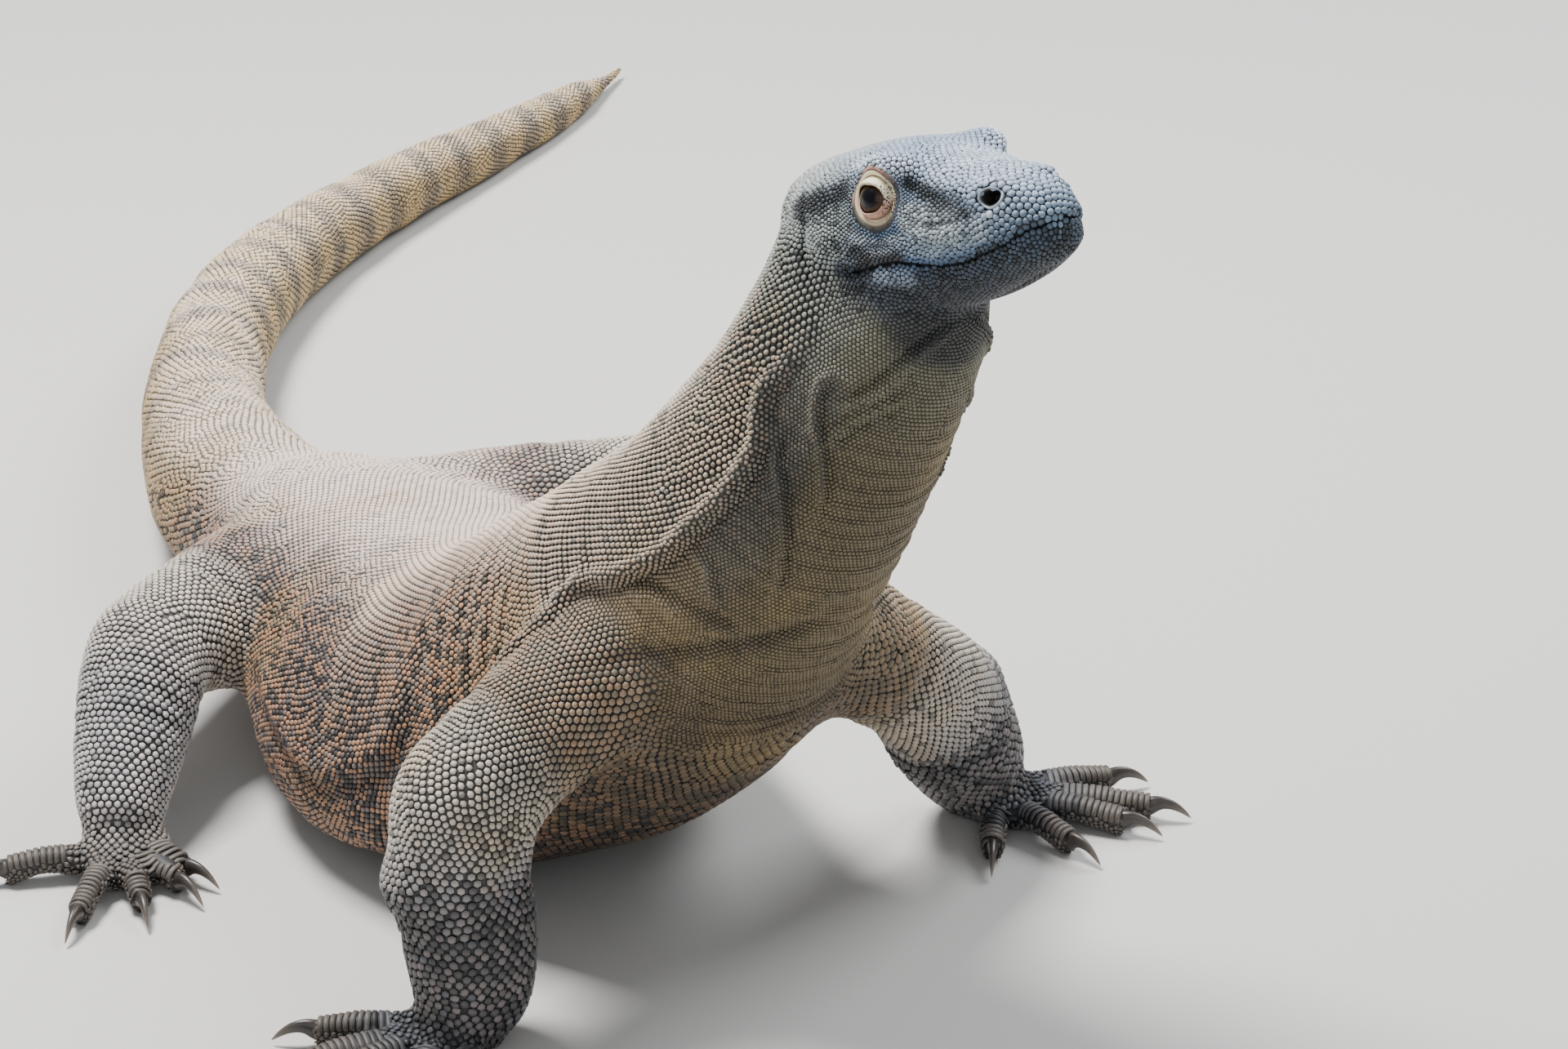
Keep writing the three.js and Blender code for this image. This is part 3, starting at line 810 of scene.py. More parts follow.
def shape_head(sculpt):
    """The lips, the corners of the mouth, the nostrils' pits, and the strokes of the head."""
    ground = sculpt.ground
    x, y, z = ground.head.T / MM
    x = np.abs(x)
    skull = ground.on(*SKULL) * 1.0
    lip = above_mouth(y, z)
    mouth = skull * ramp(-28, -40, y)
    groove = bump(0, 1.25, lip) * mouth
    sculpt.lift += MM * (-2.8 * groove + 0.9 * bump(4.2, 2.8, lip) * mouth
                         - 0.7 * bump(-3.6, 1.8, lip) * mouth + 0.5 * bump(-8.5, 3.0, lip) * mouth)
    # the mouth's groove is marked for painted shade
    sculpt.crease = np.maximum(sculpt.crease, groove)
    rictus = skull * bump(-61, 11, y) * bump(-18.5, 4.5, z) * (x > 20)
    sculpt.lift += 2.4 * MM * rictus
    nose = from_nostril(y, z)
    outer = skull * (x > NOSTRIL_OUTER)
    pit = ramp(1.25, 0.85, nose) * outer
    sculpt.lift += MM * (-8.0 * pit + 0.9 * bump(1.6, 0.35, nose) * outer)
    for stops, width, height in HEAD_STROKES.values():
        for side in (-1, 1):
            line = [HEAD_AT + np.array([side * sx, sy, sz]) * MM @ HEAD_AXES for sx, sy, sz in stops]
            line = [ground.places[np.argmin(np.linalg.norm(ground.places - p, axis=1))] for p in line]
            sculpt.stroke(line, width * MM, height * MM)


def roughen(sculpt):
    """Slight unevenness all over, less on the head and the feet."""
    ground = sculpt.ground
    calm = 1 - 0.75 * ground.on(*SKULL) - 0.7 * (ground.limb > 0.7)
    sculpt.lift += calm * MM * (1.5 * lattice_noise(ground.places, 0.055, 1)
                                + 0.6 * lattice_noise(ground.places, 0.021, 2))


# ---------------------------------------------------------------- laying the scales

# how near two roots may stand, as a share of a scale's size: on the skin, and at the first look before it
CROWD = 0.7
FIRST_LOOK = 0.6
# the step from row to row, as a share of a scale's length
ROW = 0.87
# the six places round a scale where the next may grow, in widths across and rows along
STEPS = ((1, 0), (-1, 0), (0.5, 1), (-0.5, 1), (0.5, -1), (-0.5, -1))
CELL = 8.0 * MM
# evening: the neighbours looked at, the share of a push taken each round, and the pull on those too far apart
EVEN_NEAR = 6
EVEN_SHARE = 0.22
EVEN_PULL = 0.15
# a neighbour that lies less than this towards a direction doesn't bound the scale there
LEAST_FACING = 0.08


class Bed:
    """Places where scales are rooted, filled outwards from the first by rows along the body's lie."""

    def __init__(self, ground, sizes):
        self.tree = surface_of(ground.mesh, ground.places)
        self.first = [f.vertices[0] for f in ground.mesh.polygons]
        self.flow = ground.flow.tolist()
        self.sideways = np.cross(ground.flow, ground.normals).tolist()
        self.across = sizes[:, ACROSS].tolist()
        self.along = sizes[:, ALONG].tolist()
        self.room = (np.minimum(sizes[:, ACROSS], sizes[:, ALONG]) * CROWD).tolist()
        wide = sizes[:, ACROSS] / sizes[:, ALONG]
        self.squash = np.where(wide > 1.15, 1 - 1 / wide**2, 0).tolist()
        self.cells = defaultdict(list)
        self.roots = []
        self.corner = []
        self.tight = 1.0

    def crowded(self, x, y, z, room, corner):
        """Whether a root at this place would stand too near another; wide scales need more room sideways."""
        cx, cy, cz = int(x // CELL), int(y // CELL), int(z // CELL)
        cells = self.cells
        squash = self.squash[corner]
        sx, sy, sz = self.sideways[corner]
        for i in (cx - 1, cx, cx + 1):
            for j in (cy - 1, cy, cy + 1):
                for k in (cz - 1, cz, cz + 1):
                    spots = cells.get((i, j, k))
                    if spots:
                        for px, py, pz, other, its_squash, its_side in spots:
                            reach = (room + other) * 0.5 * self.tight
                            ax, ay, az = px - x, py - y, pz - z
                            gap = ax * ax + ay * ay + az * az
                            if squash:
                                gap -= squash * (ax * sx + ay * sy + az * sz) ** 2
                            elif its_squash:
                                sideways = ax * its_side[0] + ay * its_side[1] + az * its_side[2]
                                gap -= its_squash * sideways**2
                            if gap < reach * reach:
                                return True
        return False

    def plant(self, place, corner):
        """Roots one scale at a place, with the sizes and the lie of its nearest corner."""
        x, y, z = place
        self.cells[int(x // CELL), int(y // CELL), int(z // CELL)].append(
            (x, y, z, self.room[corner], self.squash[corner], self.sideways[corner]))
        self.roots.append((x, y, z))
        self.corner.append(corner)
        return len(self.roots) - 1

    def replant(self, roots, corner, tight):
        """Starts again from roots already laid, to fill what room is left between them more tightly."""
        self.cells.clear()
        self.roots, self.corner = [], []
        self.tight = tight
        return [self.plant(tuple(root), int(near)) for root, near in zip(roots, corner)]

    def plant_near(self, start):
        """Roots one scale where the skin comes nearest to a place."""
        spot, _, face, _ = self.tree.find_nearest(Vector(start))
        return self.plant(tuple(spot), self.first[face])

    def spread(self, roots, allowed):
        """Rows of scales outwards from the given roots until no room is left."""
        queue = deque(roots)
        look_again = FIRST_LOOK / CROWD
        while queue:
            root = queue.popleft()
            x, y, z = self.roots[root]
            corner = self.corner[root]
            dx, dy, dz = self.flow[corner]
            tx, ty, tz = self.sideways[corner]
            a, b = self.across[corner], self.along[corner] * ROW
            room = self.room[corner]
            for sa, sb in STEPS:
                u, v = sa * a, sb * b
                qx, qy, qz = x + tx * u + dx * v, y + ty * u + dy * v, z + tz * u + dz * v
                if self.crowded(qx, qy, qz, room * look_again, corner):
                    continue
                spot, _, face, _ = self.tree.find_nearest((qx, qy, qz))
                near = self.first[face]
                if not allowed[near]:
                    continue
                px, py, pz = spot
                if self.crowded(px, py, pz, self.room[near], near):
                    continue
                queue.append(self.plant((px, py, pz), near))


def evened(bed, roots, corner, room, stray, rounds=5):
    """Strays the roots a little from their rows, then pushes crowded ones apart and back onto the skin."""
    roots = roots + stray
    for _ in range(rounds):
        tree = tree_of(roots)
        near = np.array([[hit[1] for hit in tree.find_n(root, EVEN_NEAR + 1)] for root in roots])[:, 1:]
        away = roots[:, None] - roots[near]
        gap = np.linalg.norm(away, axis=2) + 1e-9
        wanted = (room[:, None] + room[near]) / 2
        push = np.clip(wanted - gap, -EVEN_PULL * wanted, wanted)
        roots = roots + EVEN_SHARE * (away / gap[..., None] * push[..., None]).sum(1)
        hits = [bed.tree.find_nearest(root) for root in roots]
        roots = np.array([hit[0] for hit in hits])
        corner = np.array([bed.first[hit[2]] for hit in hits])
    return roots, corner


def nearest_roots(roots, near=9):
    """The nearest other roots to each root."""
    tree = tree_of(roots)
    neighbours = np.zeros((len(roots), near), np.int64)
    for index, root in enumerate(roots):
        found = tree.find_n(root, near + 1)
        neighbours[index] = [hit[1] for hit in found if hit[1] != index][:near]
    return neighbours


def shapes_round(pick, neighbours, roots, normals, flow, all_sizes, sides):
    """How far each picked scale reaches in every direction before it meets its neighbours."""
    neighbours, normals, flow, sizes = neighbours[pick], normals[pick], flow[pick], all_sizes[pick]
    side = np.cross(flow, normals)
    gap = roots[neighbours] - roots[pick][:, None]
    x, y, z = ((gap * axis[:, None]).sum(2) for axis in (side, flow, normals))
    far = np.sqrt(x * x + y * y) + 1e-9
    girth = np.sqrt(all_sizes[:, ACROSS] * all_sizes[:, ALONG])
    share = girth[pick][:, None] / (girth[pick][:, None] + girth[neighbours])
    turn = (np.arange(sides) + 0.5) * (2 * math.pi / sides)
    dirs = np.stack([np.cos(turn), np.sin(turn)], axis=1)
    facing = (x[..., None] * dirs[:, 0] + y[..., None] * dirs[:, 1]) / far[..., None]
    reach = (far * share)[..., None] / np.maximum(facing, LEAST_FACING)
    reach = np.where(facing > LEAST_FACING, reach, 1.0)
    plate = sizes[:, PLATE][:, None]
    power = 8 + 14 * np.maximum(plate, 0)
    wide, long = sizes[:, ACROSS, None] * dirs[:, 0], sizes[:, ALONG, None] * dirs[:, 1]
    cap = 0.5 * np.sqrt(wide**2 + long**2) * (1.02 + 0.26 * plate)
    total = ((reach / MM) ** (-power[..., None])).sum(1) + (cap / MM) ** (-power)
    radius = total ** (-1 / power) * MM
    weight = np.maximum(facing, 0) ** 2
    sag = (weight * (z / far**2)[..., None]).sum(1) / (weight.sum(1) + 1e-6)
    return radius, sag, dirs, side


def scale_mesh(name, pick, sides, neighbours, roots, normals, flow, sizes, values, patches):
    """One closed mesh of many scales: a sunk base, a shoulder and a crown on each."""
    radius, sag, dirs, side = shapes_round(pick, neighbours, roots, normals, flow, sizes, sides)
    root, normal, flow = roots[pick], normals[pick], flow[pick]
    plate, keel, height = sizes[pick, PLATE], sizes[pick, KEEL], sizes[pick, HEIGHT]
    gap = 0.06 * MM + 0.015 * radius
    radius = radius - gap
    sag = np.clip(sag * radius**2, -0.35 * radius, 0.35 * radius)
    narrow = np.sqrt((dirs[:, 0] * (1 - 0.45 * keel[:, None])) ** 2 + dirs[:, 1] ** 2)
    plate = np.maximum(plate, 0)
    shoulder = (0.66 + 0.25 * plate)[:, None] * narrow
    rear = dirs[:, 1]

    def ring(reach, lift):
        r = radius * reach
        return (root[:, None]
                + side[:, None] * (r * dirs[:, 0])[..., None]
                + flow[:, None] * (r * dirs[:, 1])[..., None]
                + normal[:, None] * (sag * reach**2 + lift)[..., None])

    base = ring(np.ones_like(shoulder), -COAT_DEPTH)
    rise = (0.74 + 0.1 * plate)[:, None] * height[:, None] * (1 + 0.25 * rear)
    top = ring(shoulder, rise)
    crown = root + normal * height[:, None] + flow * (0.12 * radius.mean(1))[:, None]
    places = np.concatenate([base, top, crown[:, None]], axis=1)
    i = np.arange(sides)
    j = (i + 1) % sides
    faces = [*np.stack([i, j, sides + j, sides + i], axis=1), i[::-1],
             *np.stack([sides + i, sides + j, np.full(sides, 2 * sides)], axis=1)]
    lift = np.concatenate([np.zeros(sides), np.full(sides, 0.7), [1.0]])
    flat = np.concatenate([dirs, dirs * 0.65, [[0, 0]]])
    return coat_piece(name, places, faces, lift, flat, pick, values, patches)


PATCH = 0.003
# what is kept at each corner of a mesh, by how many numbers it has
STORES = {1: ("FLOAT", "value"), 3: ("FLOAT_VECTOR", "vector"), 4: ("FLOAT_COLOR", "color")}


def store(mesh, name, values):
    """Keeps a number, a vector or a colour at each corner of a mesh, for its finish."""
    kind, key = STORES[values.size // len(mesh.vertices)]
    layer = mesh.attributes.new(name, kind, "POINT")
    layer.data.foreach_set(key, np.ascontiguousarray(values, dtype=np.float32).ravel())


def coat_piece(name, places, faces, lift, flat, pick, values, patches):
    """One mesh of many closed scales of the same make, with what their finish reads and their patches."""
    count, block = places.shape[:2]
    places[..., 2] = np.maximum(places[..., 2], FLOOR_GAP * 0.2)
    loops = np.concatenate(faces)
    lengths = np.array([len(face) for face in faces])
    starts = np.concatenate([[0], np.cumsum(lengths)[:-1]])
    offsets = np.arange(count)[:, None]
    all_loops = (loops[None] + offsets * block).ravel()
    mesh = bpy.data.meshes.new(name)
    mesh.vertices.add(count * block)
    mesh.vertices.foreach_set("co", places.ravel())
    mesh.loops.add(len(all_loops))
    mesh.loops.foreach_set("vertex_index", all_loops.astype(np.int32))
    mesh.polygons.add(count * len(lengths))
    mesh.polygons.foreach_set("loop_start", (starts[None] + offsets * len(loops)).ravel().astype(np.int32))
    mesh.polygons.foreach_set("loop_total", np.tile(lengths, count).astype(np.int32))
    mesh.update(calc_edges=True)
    mesh.shade_smooth()
    store(mesh, "rise", np.tile(lift, count))
    for key, value in values.items():
        store(mesh, key, np.repeat(value[pick], block, axis=0))
    spots = patches[pick][:, None] + flat[None] * PATCH / 2
    uv = mesh.uv_layers.new(name="OFBake")
    uv.data.foreach_set("uv", spots.reshape(-1, 2)[all_loops].ravel().astype(np.float32))
    thing = bpy.data.objects.new(name, mesh)
    bpy.context.scene.collection.objects.link(thing)
    return thing


# each band over a toe: the place of its edges and ridges as a share of its length and their height in mm,
# how far each has risen for the finish, and how many spokes it has over how wide an arc
SCUTE_STEP = 3.7 * MM
SCUTE_RIM = ((-0.47, -0.9), (-0.36, 0.6), (0.24, 1.15), (0.46, 0.5), (0.5, -0.9))
SCUTE_LIFT = (0.0, 0.7, 1.0, 0.7, 0.0)
SCUTE_SPOKES = 9
SCUTE_ARC = math.radians(76)
SCUTE_RAY = 0.02


def toe_scutes(bed, ground, open_skin):
    """Bands across the top of every toe, each a grid of places; no other scale may grow where they lie."""
    bands, corners = [], []
    feet = np.flatnonzero(ground.limb > 0.7)
    spots = ground.places[feet]
    turn = np.linspace(-SCUTE_ARC, SCUTE_ARC, SCUTE_SPOKES)
    ease = 1 - np.abs(turn / SCUTE_ARC) ** 5
    share, height = np.array(SCUTE_RIM).T
    others = []
    for toe in TOES.values():
        beside = np.array(others).reshape(-1, 3)
        for reach in np.arange(0.46 * toe.length, toe.length, SCUTE_STEP):
            centre = between(reach, toe.distance, toe.points)
            along = unit(between(reach, toe.distance, toe.tangents))
            side = unit(np.cross(along, UP))
            up = np.cross(side, along)
            ways = np.cos(turn)[:, None] * up + np.sin(turn)[:, None] * side
            *hits, below = (bed.tree.ray_cast(Vector(centre), Vector(way), SCUTE_RAY) for way in (*ways, -up))
            highest, _, face, top = hits[SCUTE_SPOKES // 2]
            if below[0] is None or highest is None:
                continue
            if len(beside) and np.linalg.norm(beside - centre, axis=1).min() < 1.7 * top:
                continue
            others.append(centre)
            girth = np.array([min(hit[3], 1.3 * top) if hit[0] else 1.3 * top for hit in hits])
            raised = height * MM * ease[:, None] - 0.5 * MM * (1 - ease[:, None])
            lift = np.where(height > 0, raised, height * MM).T
            length = SCUTE_STEP * share[:, None] * (0.75 + 0.25 * ease)
            band = centre + along * length[..., None] + ways * (girth + lift)[..., None]
            bands.append(band.reshape(-1, 3))
            corners.append(bed.first[face])
            arm = spots - centre
            angle = np.arctan2(arm @ side, arm @ up)
            held = (np.abs(arm @ along) < 0.62 * SCUTE_STEP) & (np.abs(angle) < 0.9 * SCUTE_ARC)
            held &= np.linalg.norm(arm, axis=1) < 1.4 * top
            open_skin[feet[held]] = False
    return np.array(bands), np.array(corners)


def scute_mesh(name, bands, values, patches):
    """One mesh of all the bands over the toes."""
    rings, spokes = len(SCUTE_RIM), SCUTE_SPOKES
    at = np.arange(rings * spokes).reshape(rings, spokes)
    after = np.roll(at, -1, axis=0)
    faces = [*np.stack([at[:, :-1], at[:, 1:], after[:, 1:], after[:, :-1]], axis=-1).reshape(-1, 4),
             at[:, 0], at[::-1, -1]]
    across, along = np.meshgrid(np.linspace(-1, 1, spokes), np.linspace(-1, 1, rings))
    flat = np.stack([across, along], axis=-1).reshape(-1, 2)
    lift = np.repeat(SCUTE_LIFT, spokes)
    return coat_piece(name, bands, faces, lift, flat, np.arange(len(bands)), values, patches)


SKIN_FACES = 190000
# how far the bare skin is drawn in, as a share of the coat's depth, and how its unwrap is cut and parted
SKIN_DRAWN_IN = 0.6
UNWRAP_ANGLE = math.radians(72)
ISLAND_GAP = 0.001


def light_skin(skin, ground):
    """Fewer faces for the bare skin under the coat, drawn in by part of the coat's depth, and its unwrap."""
    drawn_in = ground.places - ground.normals * COAT_DEPTH * SKIN_DRAWN_IN
    skin.data.vertices.foreach_set("co", drawn_in.ravel())
    alone(skin)
    thin = skin.modifiers.new("thin", "DECIMATE")
    thin.ratio = SKIN_FACES / (2 * len(skin.data.polygons))
    bpy.ops.object.modifier_apply(modifier="thin")
    with editing():
        bpy.ops.mesh.quads_convert_to_tris()
        bpy.ops.uv.smart_project(angle_limit=UNWRAP_ANGLE, island_margin=ISLAND_GAP)
    skin.data.uv_layers[0].name = "OFBake"


def patches_on(skin, roots):
    """The middle of each scale's patch: where its root falls on the skin's unwrap."""
    mesh = skin.data
    places = points_of(mesh)
    tree = surface_of(mesh, places)
    flat = np.empty(len(mesh.loops) * 2, np.float32)
    mesh.uv_layers["OFBake"].data.foreach_get("uv", flat)
    starts = np.array([f.loop_start for f in mesh.polygons])
    loops = starts[[tree.find_nearest(root)[2] for root in roots]][:, None] + np.arange(3)
    ends = np.empty(len(mesh.loops), np.int32)
    mesh.loops.foreach_get("vertex_index", ends)
    corners = places[ends[loops]]
    a, b = corners[:, 1] - corners[:, 0], corners[:, 2] - corners[:, 0]
    c = roots - corners[:, 0]
    aa, ab, bb = (a * a).sum(1), (a * b).sum(1), (b * b).sum(1)
    ca, cb = (c * a).sum(1), (c * b).sum(1)
    size = np.maximum(aa * bb - ab * ab, 1e-20)
    u, v = np.clip((bb * ca - ab * cb) / size, 0, 1), np.clip((aa * cb - ab * ca) / size, 0, 1)
    spots = flat.reshape(-1, 2)[loops]
    return spots[:, 0] + u[:, None] * (spots[:, 1] - spots[:, 0]) + v[:, None] * (spots[:, 2] - spots[:, 0])


# ---------------------------------------------------------------- finishes

def linear(hex_colour):
    """A colour written the usual way, as the shader's own numbers."""
    parts = [int(hex_colour[i:i + 2], 16) / 255 for i in (0, 2, 4)]
    return (*(c / 12.92 if c <= 0.04045 else ((c + 0.055) / 1.055) ** 2.4 for c in parts), 1.0)


class Recipe:
    """A small helper that lays shader nodes and joins them."""

    def __init__(self, tree):
        self.tree = tree

    def node(self, kind, inputs=(), **settings):
        node = self.tree.nodes.new(kind)
        for key, value in settings.items():
            setattr(node, key, value)
        return self.feed(node, dict(inputs))

    def feed(self, node, inputs):
        """Joins each of a node's inputs to another's output, or sets it."""
        for key, value in inputs.items():
            socket = node.inputs[key]
            if isinstance(value, bpy.types.NodeSocket):
                self.tree.links.new(value, socket)
            else:
                socket.default_value = value
        return node

    def math(self, operation, a, b=0.0, c=0.0, clamp=False):
        node = self.node("ShaderNodeMath", {0: a, 1: b, 2: c}, operation=operation)
        node.use_clamp = clamp
        return node.outputs[0]

    def times(self, a, b, clamp=False):
        return self.math("MULTIPLY", a, b, clamp=clamp)

    def scaled(self, value, by, more):
        """The value times one number and plus another."""
        return self.math("MULTIPLY_ADD", value, by, more)

    def mix(self, factor, a, b, blend="MIX"):
        node = self.node("ShaderNodeMix", {0: factor, 6: a, 7: b}, data_type="RGBA", blend_type=blend)
        return node.outputs[2]

    def noise(self, vector, scale, detail=2.0, rough=0.5):
        node = self.node("ShaderNodeTexNoise", {"Vector": vector, "Scale": scale, "Detail": detail,
                                                "Roughness": rough})
        return node.outputs[0]

    def step(self, value, low, high):
        """A smooth rise from 0 at low to 1 at high."""
        node = self.node("ShaderNodeMapRange", {0: value, 1: low, 2: high}, interpolation_type="SMOOTHSTEP")
        return node.outputs[0]

    def bands(self, value, stops):
        """A colour ramp from (place, colour) stops."""
        node = self.node("ShaderNodeValToRGB", {0: value})
        elements = node.color_ramp.elements
        elements[0].position, elements[0].color = stops[0][0], linear(stops[0][1])
        elements[1].position, elements[1].color = stops[-1][0], linear(stops[-1][1])
        for place, colour in stops[1:-1]:
            elements.new(place).color = linear(colour)
        return node.outputs[0]

    def attribute(self, name, output="Fac"):
        return self.node("ShaderNodeAttribute", attribute_name=name).outputs[output]

    def place(self):
        return self.node("ShaderNodeTexCoord").outputs["Object"]

    def shaded(self, colour, shade):
        """A colour darkened by a single number."""
        grey = self.node("ShaderNodeCombineColor", {0: shade, 1: shade, 2: shade}).outputs[0]
        return self.mix(1.0, colour, grey, "MULTIPLY")

    def relief(self, strength, depth, height):
        """Normals bent by a fine relief."""
        inputs = {"Strength": strength, "Distance": depth, "Height": height}
        return self.node("ShaderNodeBump", inputs).outputs[0]


def new_material(name):
    """A material, the helper that lays its nodes, and its shader."""
    material = bpy.data.materials.new(name)
    material.use_nodes = True
    return material, Recipe(material.node_tree), material.node_tree.nodes["Principled BSDF"]


def group(name, inputs, outputs):
    """A node group, the helper that lays its nodes, what it is given, and the node that gives its results."""
    tree = bpy.data.node_groups.new(name, "ShaderNodeTree")
    for label, kind, default in inputs:
        socket = tree.interface.new_socket(label, in_out="INPUT", socket_type=kind)
        if default is not None:
            socket.default_value = default
    for label, kind in outputs:
        tree.interface.new_socket(label, in_out="OUTPUT", socket_type=kind)
    recipe = Recipe(tree)
    return tree, recipe, recipe.node("NodeGroupInput").outputs, recipe.node("NodeGroupOutput")


FLOAT, COLOUR, VECTOR = "NodeSocketFloat", "NodeSocketColor", "NodeSocketVector"
# the length that distances from the snout are shares of, and the step from ring to ring of the tail
LONG = 2.1
TAIL_RING = 0.024

# colours from snout to tail on the back, the flank and the underside, and down a limb; the back's are paler
# than the flank's partly as painted highlight from above, bluish on the snout as painted sky reflection, and
# the underside's from the throat to the chest are darker partly as painted shade
BACK = (
    (0.0, "7f94ab"), (0.05, "788ca3"), (0.08, "9b9f9c"), (0.11, "c2bcab"), (0.15, "dfd0b9"),
    (0.22, "e5d0ba"), (0.27, "e3c9b4"), (0.33, "dfcbbb"), (0.42, "e2d0c4"), (0.5, "dcc8b2"),
    (0.7, "e0caa4"), (1.0, "d3bd92"))
FLANK = (
    (0.0, "536374"), (0.048, "4f6a8c"), (0.072, "80857f"), (0.12, "8b8675"), (0.17, "9b8e78"),
    (0.24, "9a8878"), (0.3, "776a64"), (0.38, "695f5d"), (0.46, "82766e"), (0.52, "a3906f"),
    (0.7, "ab9670"), (1.0, "98855f"))
UNDER = (
    (0.0, "41474d"), (0.05, "464948"), (0.08, "85816c"), (0.12, "776c50"), (0.17, "7c6e4f"),
    (0.21, "564a37"), (0.24, "362e26"), (0.36, "352d27"), (0.5, "5b4e41"), (0.7, "85724f"),
    (1.0, "75644a"))
LIMB = (
    (0.0, "b3aa98"), (0.2, "b5ad9f"), (0.34, "a3a09d"), (0.45, "8d939c"), (0.68, "8c8d90"),
    (0.78, "69635e"), (1.0, "50473f"))
# The slate colour also stands for painted shade in the throat's hollows, and the umber for painted shade
# under the belly; the two pale colours, bluish for the head, serve for pale marks and for painted highlight.
SAGE, SLATE, UMBER, INK, RUST, OCHRE = "a0aa9c", "2b3642", "3a3026", "121418", "a97c5a", "b3975c"
RING_DARK, RING_PALE, DUST_AND_HIGHLIGHT_HEAD, DUST_AND_HIGHLIGHT_BODY, SEAM = "5a5146", "c9a868", "d3e0ee", "ece0d6", "0d1015"


def dragon_colours():
    """Colour, dullness and fine relief anywhere on the body, for the bare skin and for the scales on it."""
    tree, r, given, out = group(
        "dragon markings",
        (("Course", VECTOR, None), ("Root", VECTOR, None), ("Paint", COLOUR, None), ("Gap", FLOAT, 0.3),
         ("Wash", COLOUR, None), ("Crease", FLOAT, 0.0), ("Chance", FLOAT, 0.5), ("Rise", FLOAT, 0.0)),
        (("Colour", COLOUR), ("Dullness", FLOAT), ("Grain", FLOAT)))
    root = given["Root"]
    along, side, limb = r.node("ShaderNodeSeparateXYZ", {0: given["Course"]}).outputs
    dust_and_highlight, rust, ink = r.node("ShaderNodeSeparateColor", {0: given["Paint"]}).outputs
    sage, slate_and_shade, umber_and_shade = r.node("ShaderNodeSeparateColor", {0: given["Wash"]}).outputs
    cloud = r.noise(root, 13.0, 2.0, 0.5)
    mottle = r.noise(root, 48.0, 3.0, 0.6)
    fleck = r.noise(root, 170.0, 1.0, 0.5)
    round_body = r.math("ADD", side, r.scaled(mottle, 0.3, -0.15))
    back, flank, under = (r.bands(along, stops) for stops in (BACK, FLANK, UNDER))
    trunk = r.mix(r.step(round_body, 0.1, 0.36), back, flank)
    trunk = r.mix(r.step(round_body, 0.5, 0.8), trunk, under)
    body = r.mix(r.step(limb, 0.03, 0.16), trunk, r.bands(limb, LIMB))
    phase = r.scaled(mottle, 1.8, r.times(cloud, 1.2))
    ring = r.math("SINE", r.scaled(along, 2 * math.pi / TAIL_RING, phase))
    on_tail = r.step(along, 0.47, 0.6)
    dark_ring = r.times(on_tail, r.step(ring, -0.1, 0.7))
    body = r.mix(r.times(dark_ring, 0.68), body, linear(RING_DARK))
    pale_ring = r.times(on_tail, r.step(ring, 0.0, -0.8))
    body = r.mix(r.times(pale_ring, 0.4), body, linear(RING_PALE))
    off_head = r.times(r.step(along, 0.075, 0.12), 0.35)
    warm = r.times(r.step(cloud, 0.5, 0.7), r.times(r.step(limb, 0.7, 0.4), off_head))
    body = r.mix(warm, body, linear(OCHRE))
    blotch = r.scaled(mottle, 0.7, 0.65)
    # Sage, umber and slate laid over the body; umber and slate also give painted shade under the belly and in
    # the throat's hollows.
    for mask, shade in ((sage, SAGE), (umber_and_shade, UMBER), (slate_and_shade, SLATE)):
        body = r.mix(r.times(mask, blotch, clamp=True), body, linear(shade))
    jitter = r.scaled(given["Chance"], 0.22, fleck)
    picked = r.scaled(mottle, 0.35, r.times(given["Chance"], 0.8))
    orange = r.times(r.step(picked, 0.56, 0.7), rust)
    body = r.mix(orange, body, linear(RUST))
    level = r.scaled(ink, 0.9, -0.1)
    dark = r.step(r.math("SUBTRACT", level, given["Chance"]), -0.12, 0.0)
    body = r.mix(r.times(dark, r.step(ink, 0.0, 0.2)), body, r.mix(0.25, linear(INK), body))
    # Pale scales picked at random where the pale layer is strong: real pale marks, and painted highlight on
    # the tops of head, back and tail, bluish on the head.
    pale = r.times(r.scaled(r.step(jitter, 0.35, 0.85), 0.5, 0.5), dust_and_highlight)
    body = r.mix(pale, body, r.mix(r.step(along, 0.09, 0.13), linear(DUST_AND_HIGHLIGHT_HEAD), linear(DUST_AND_HIGHLIGHT_BODY)))
    # Each scale's tone varies at random; in creases and hollows both it and the seams are darkened as painted
    # shade.
    tint = r.scaled(given["Chance"], 0.3, 0.83)
    tinted = r.shaded(body, r.times(tint, r.scaled(given["Crease"], -0.55, 1.0)))
    seam = r.mix(r.times(given["Gap"], r.math("SUBTRACT", 1.0, given["Crease"])), linear(SEAM), body)
    r.feed(out, {
        "Colour": r.mix(r.step(given["Rise"], 0.2, 0.62), seam, tinted),
        "Dullness": r.scaled(mottle, 0.25, 0.42),
        "Grain": r.noise(r.place(), 1400.0, 2.0, 0.6),
    })
    return tree


def body_material(name, markings, relief):
    """The finish of the skin or of its scales, from the markings and from what is kept at each corner."""
    material, r, shader = new_material(name)
    marks = r.node("ShaderNodeGroup", {
        "Course": r.attribute("course", "Vector"), "Root": r.attribute("root", "Vector"),
        "Paint": r.attribute("paint", "Color"), "Gap": r.attribute("paint", "Alpha"),
        "Wash": r.attribute("wash", "Color"), "Crease": r.attribute("wash", "Alpha"),
        "Chance": r.attribute("chance"), "Rise": r.attribute("rise"),
    }, node_tree=markings).outputs
    r.feed(shader, {"Base Color": marks["Colour"], "Roughness": marks["Dullness"],
                    "Normal": r.relief(relief, 0.3 * MM, marks["Grain"])})
    return material


# ---------------------------------------------------------------- eyes, lids and claws

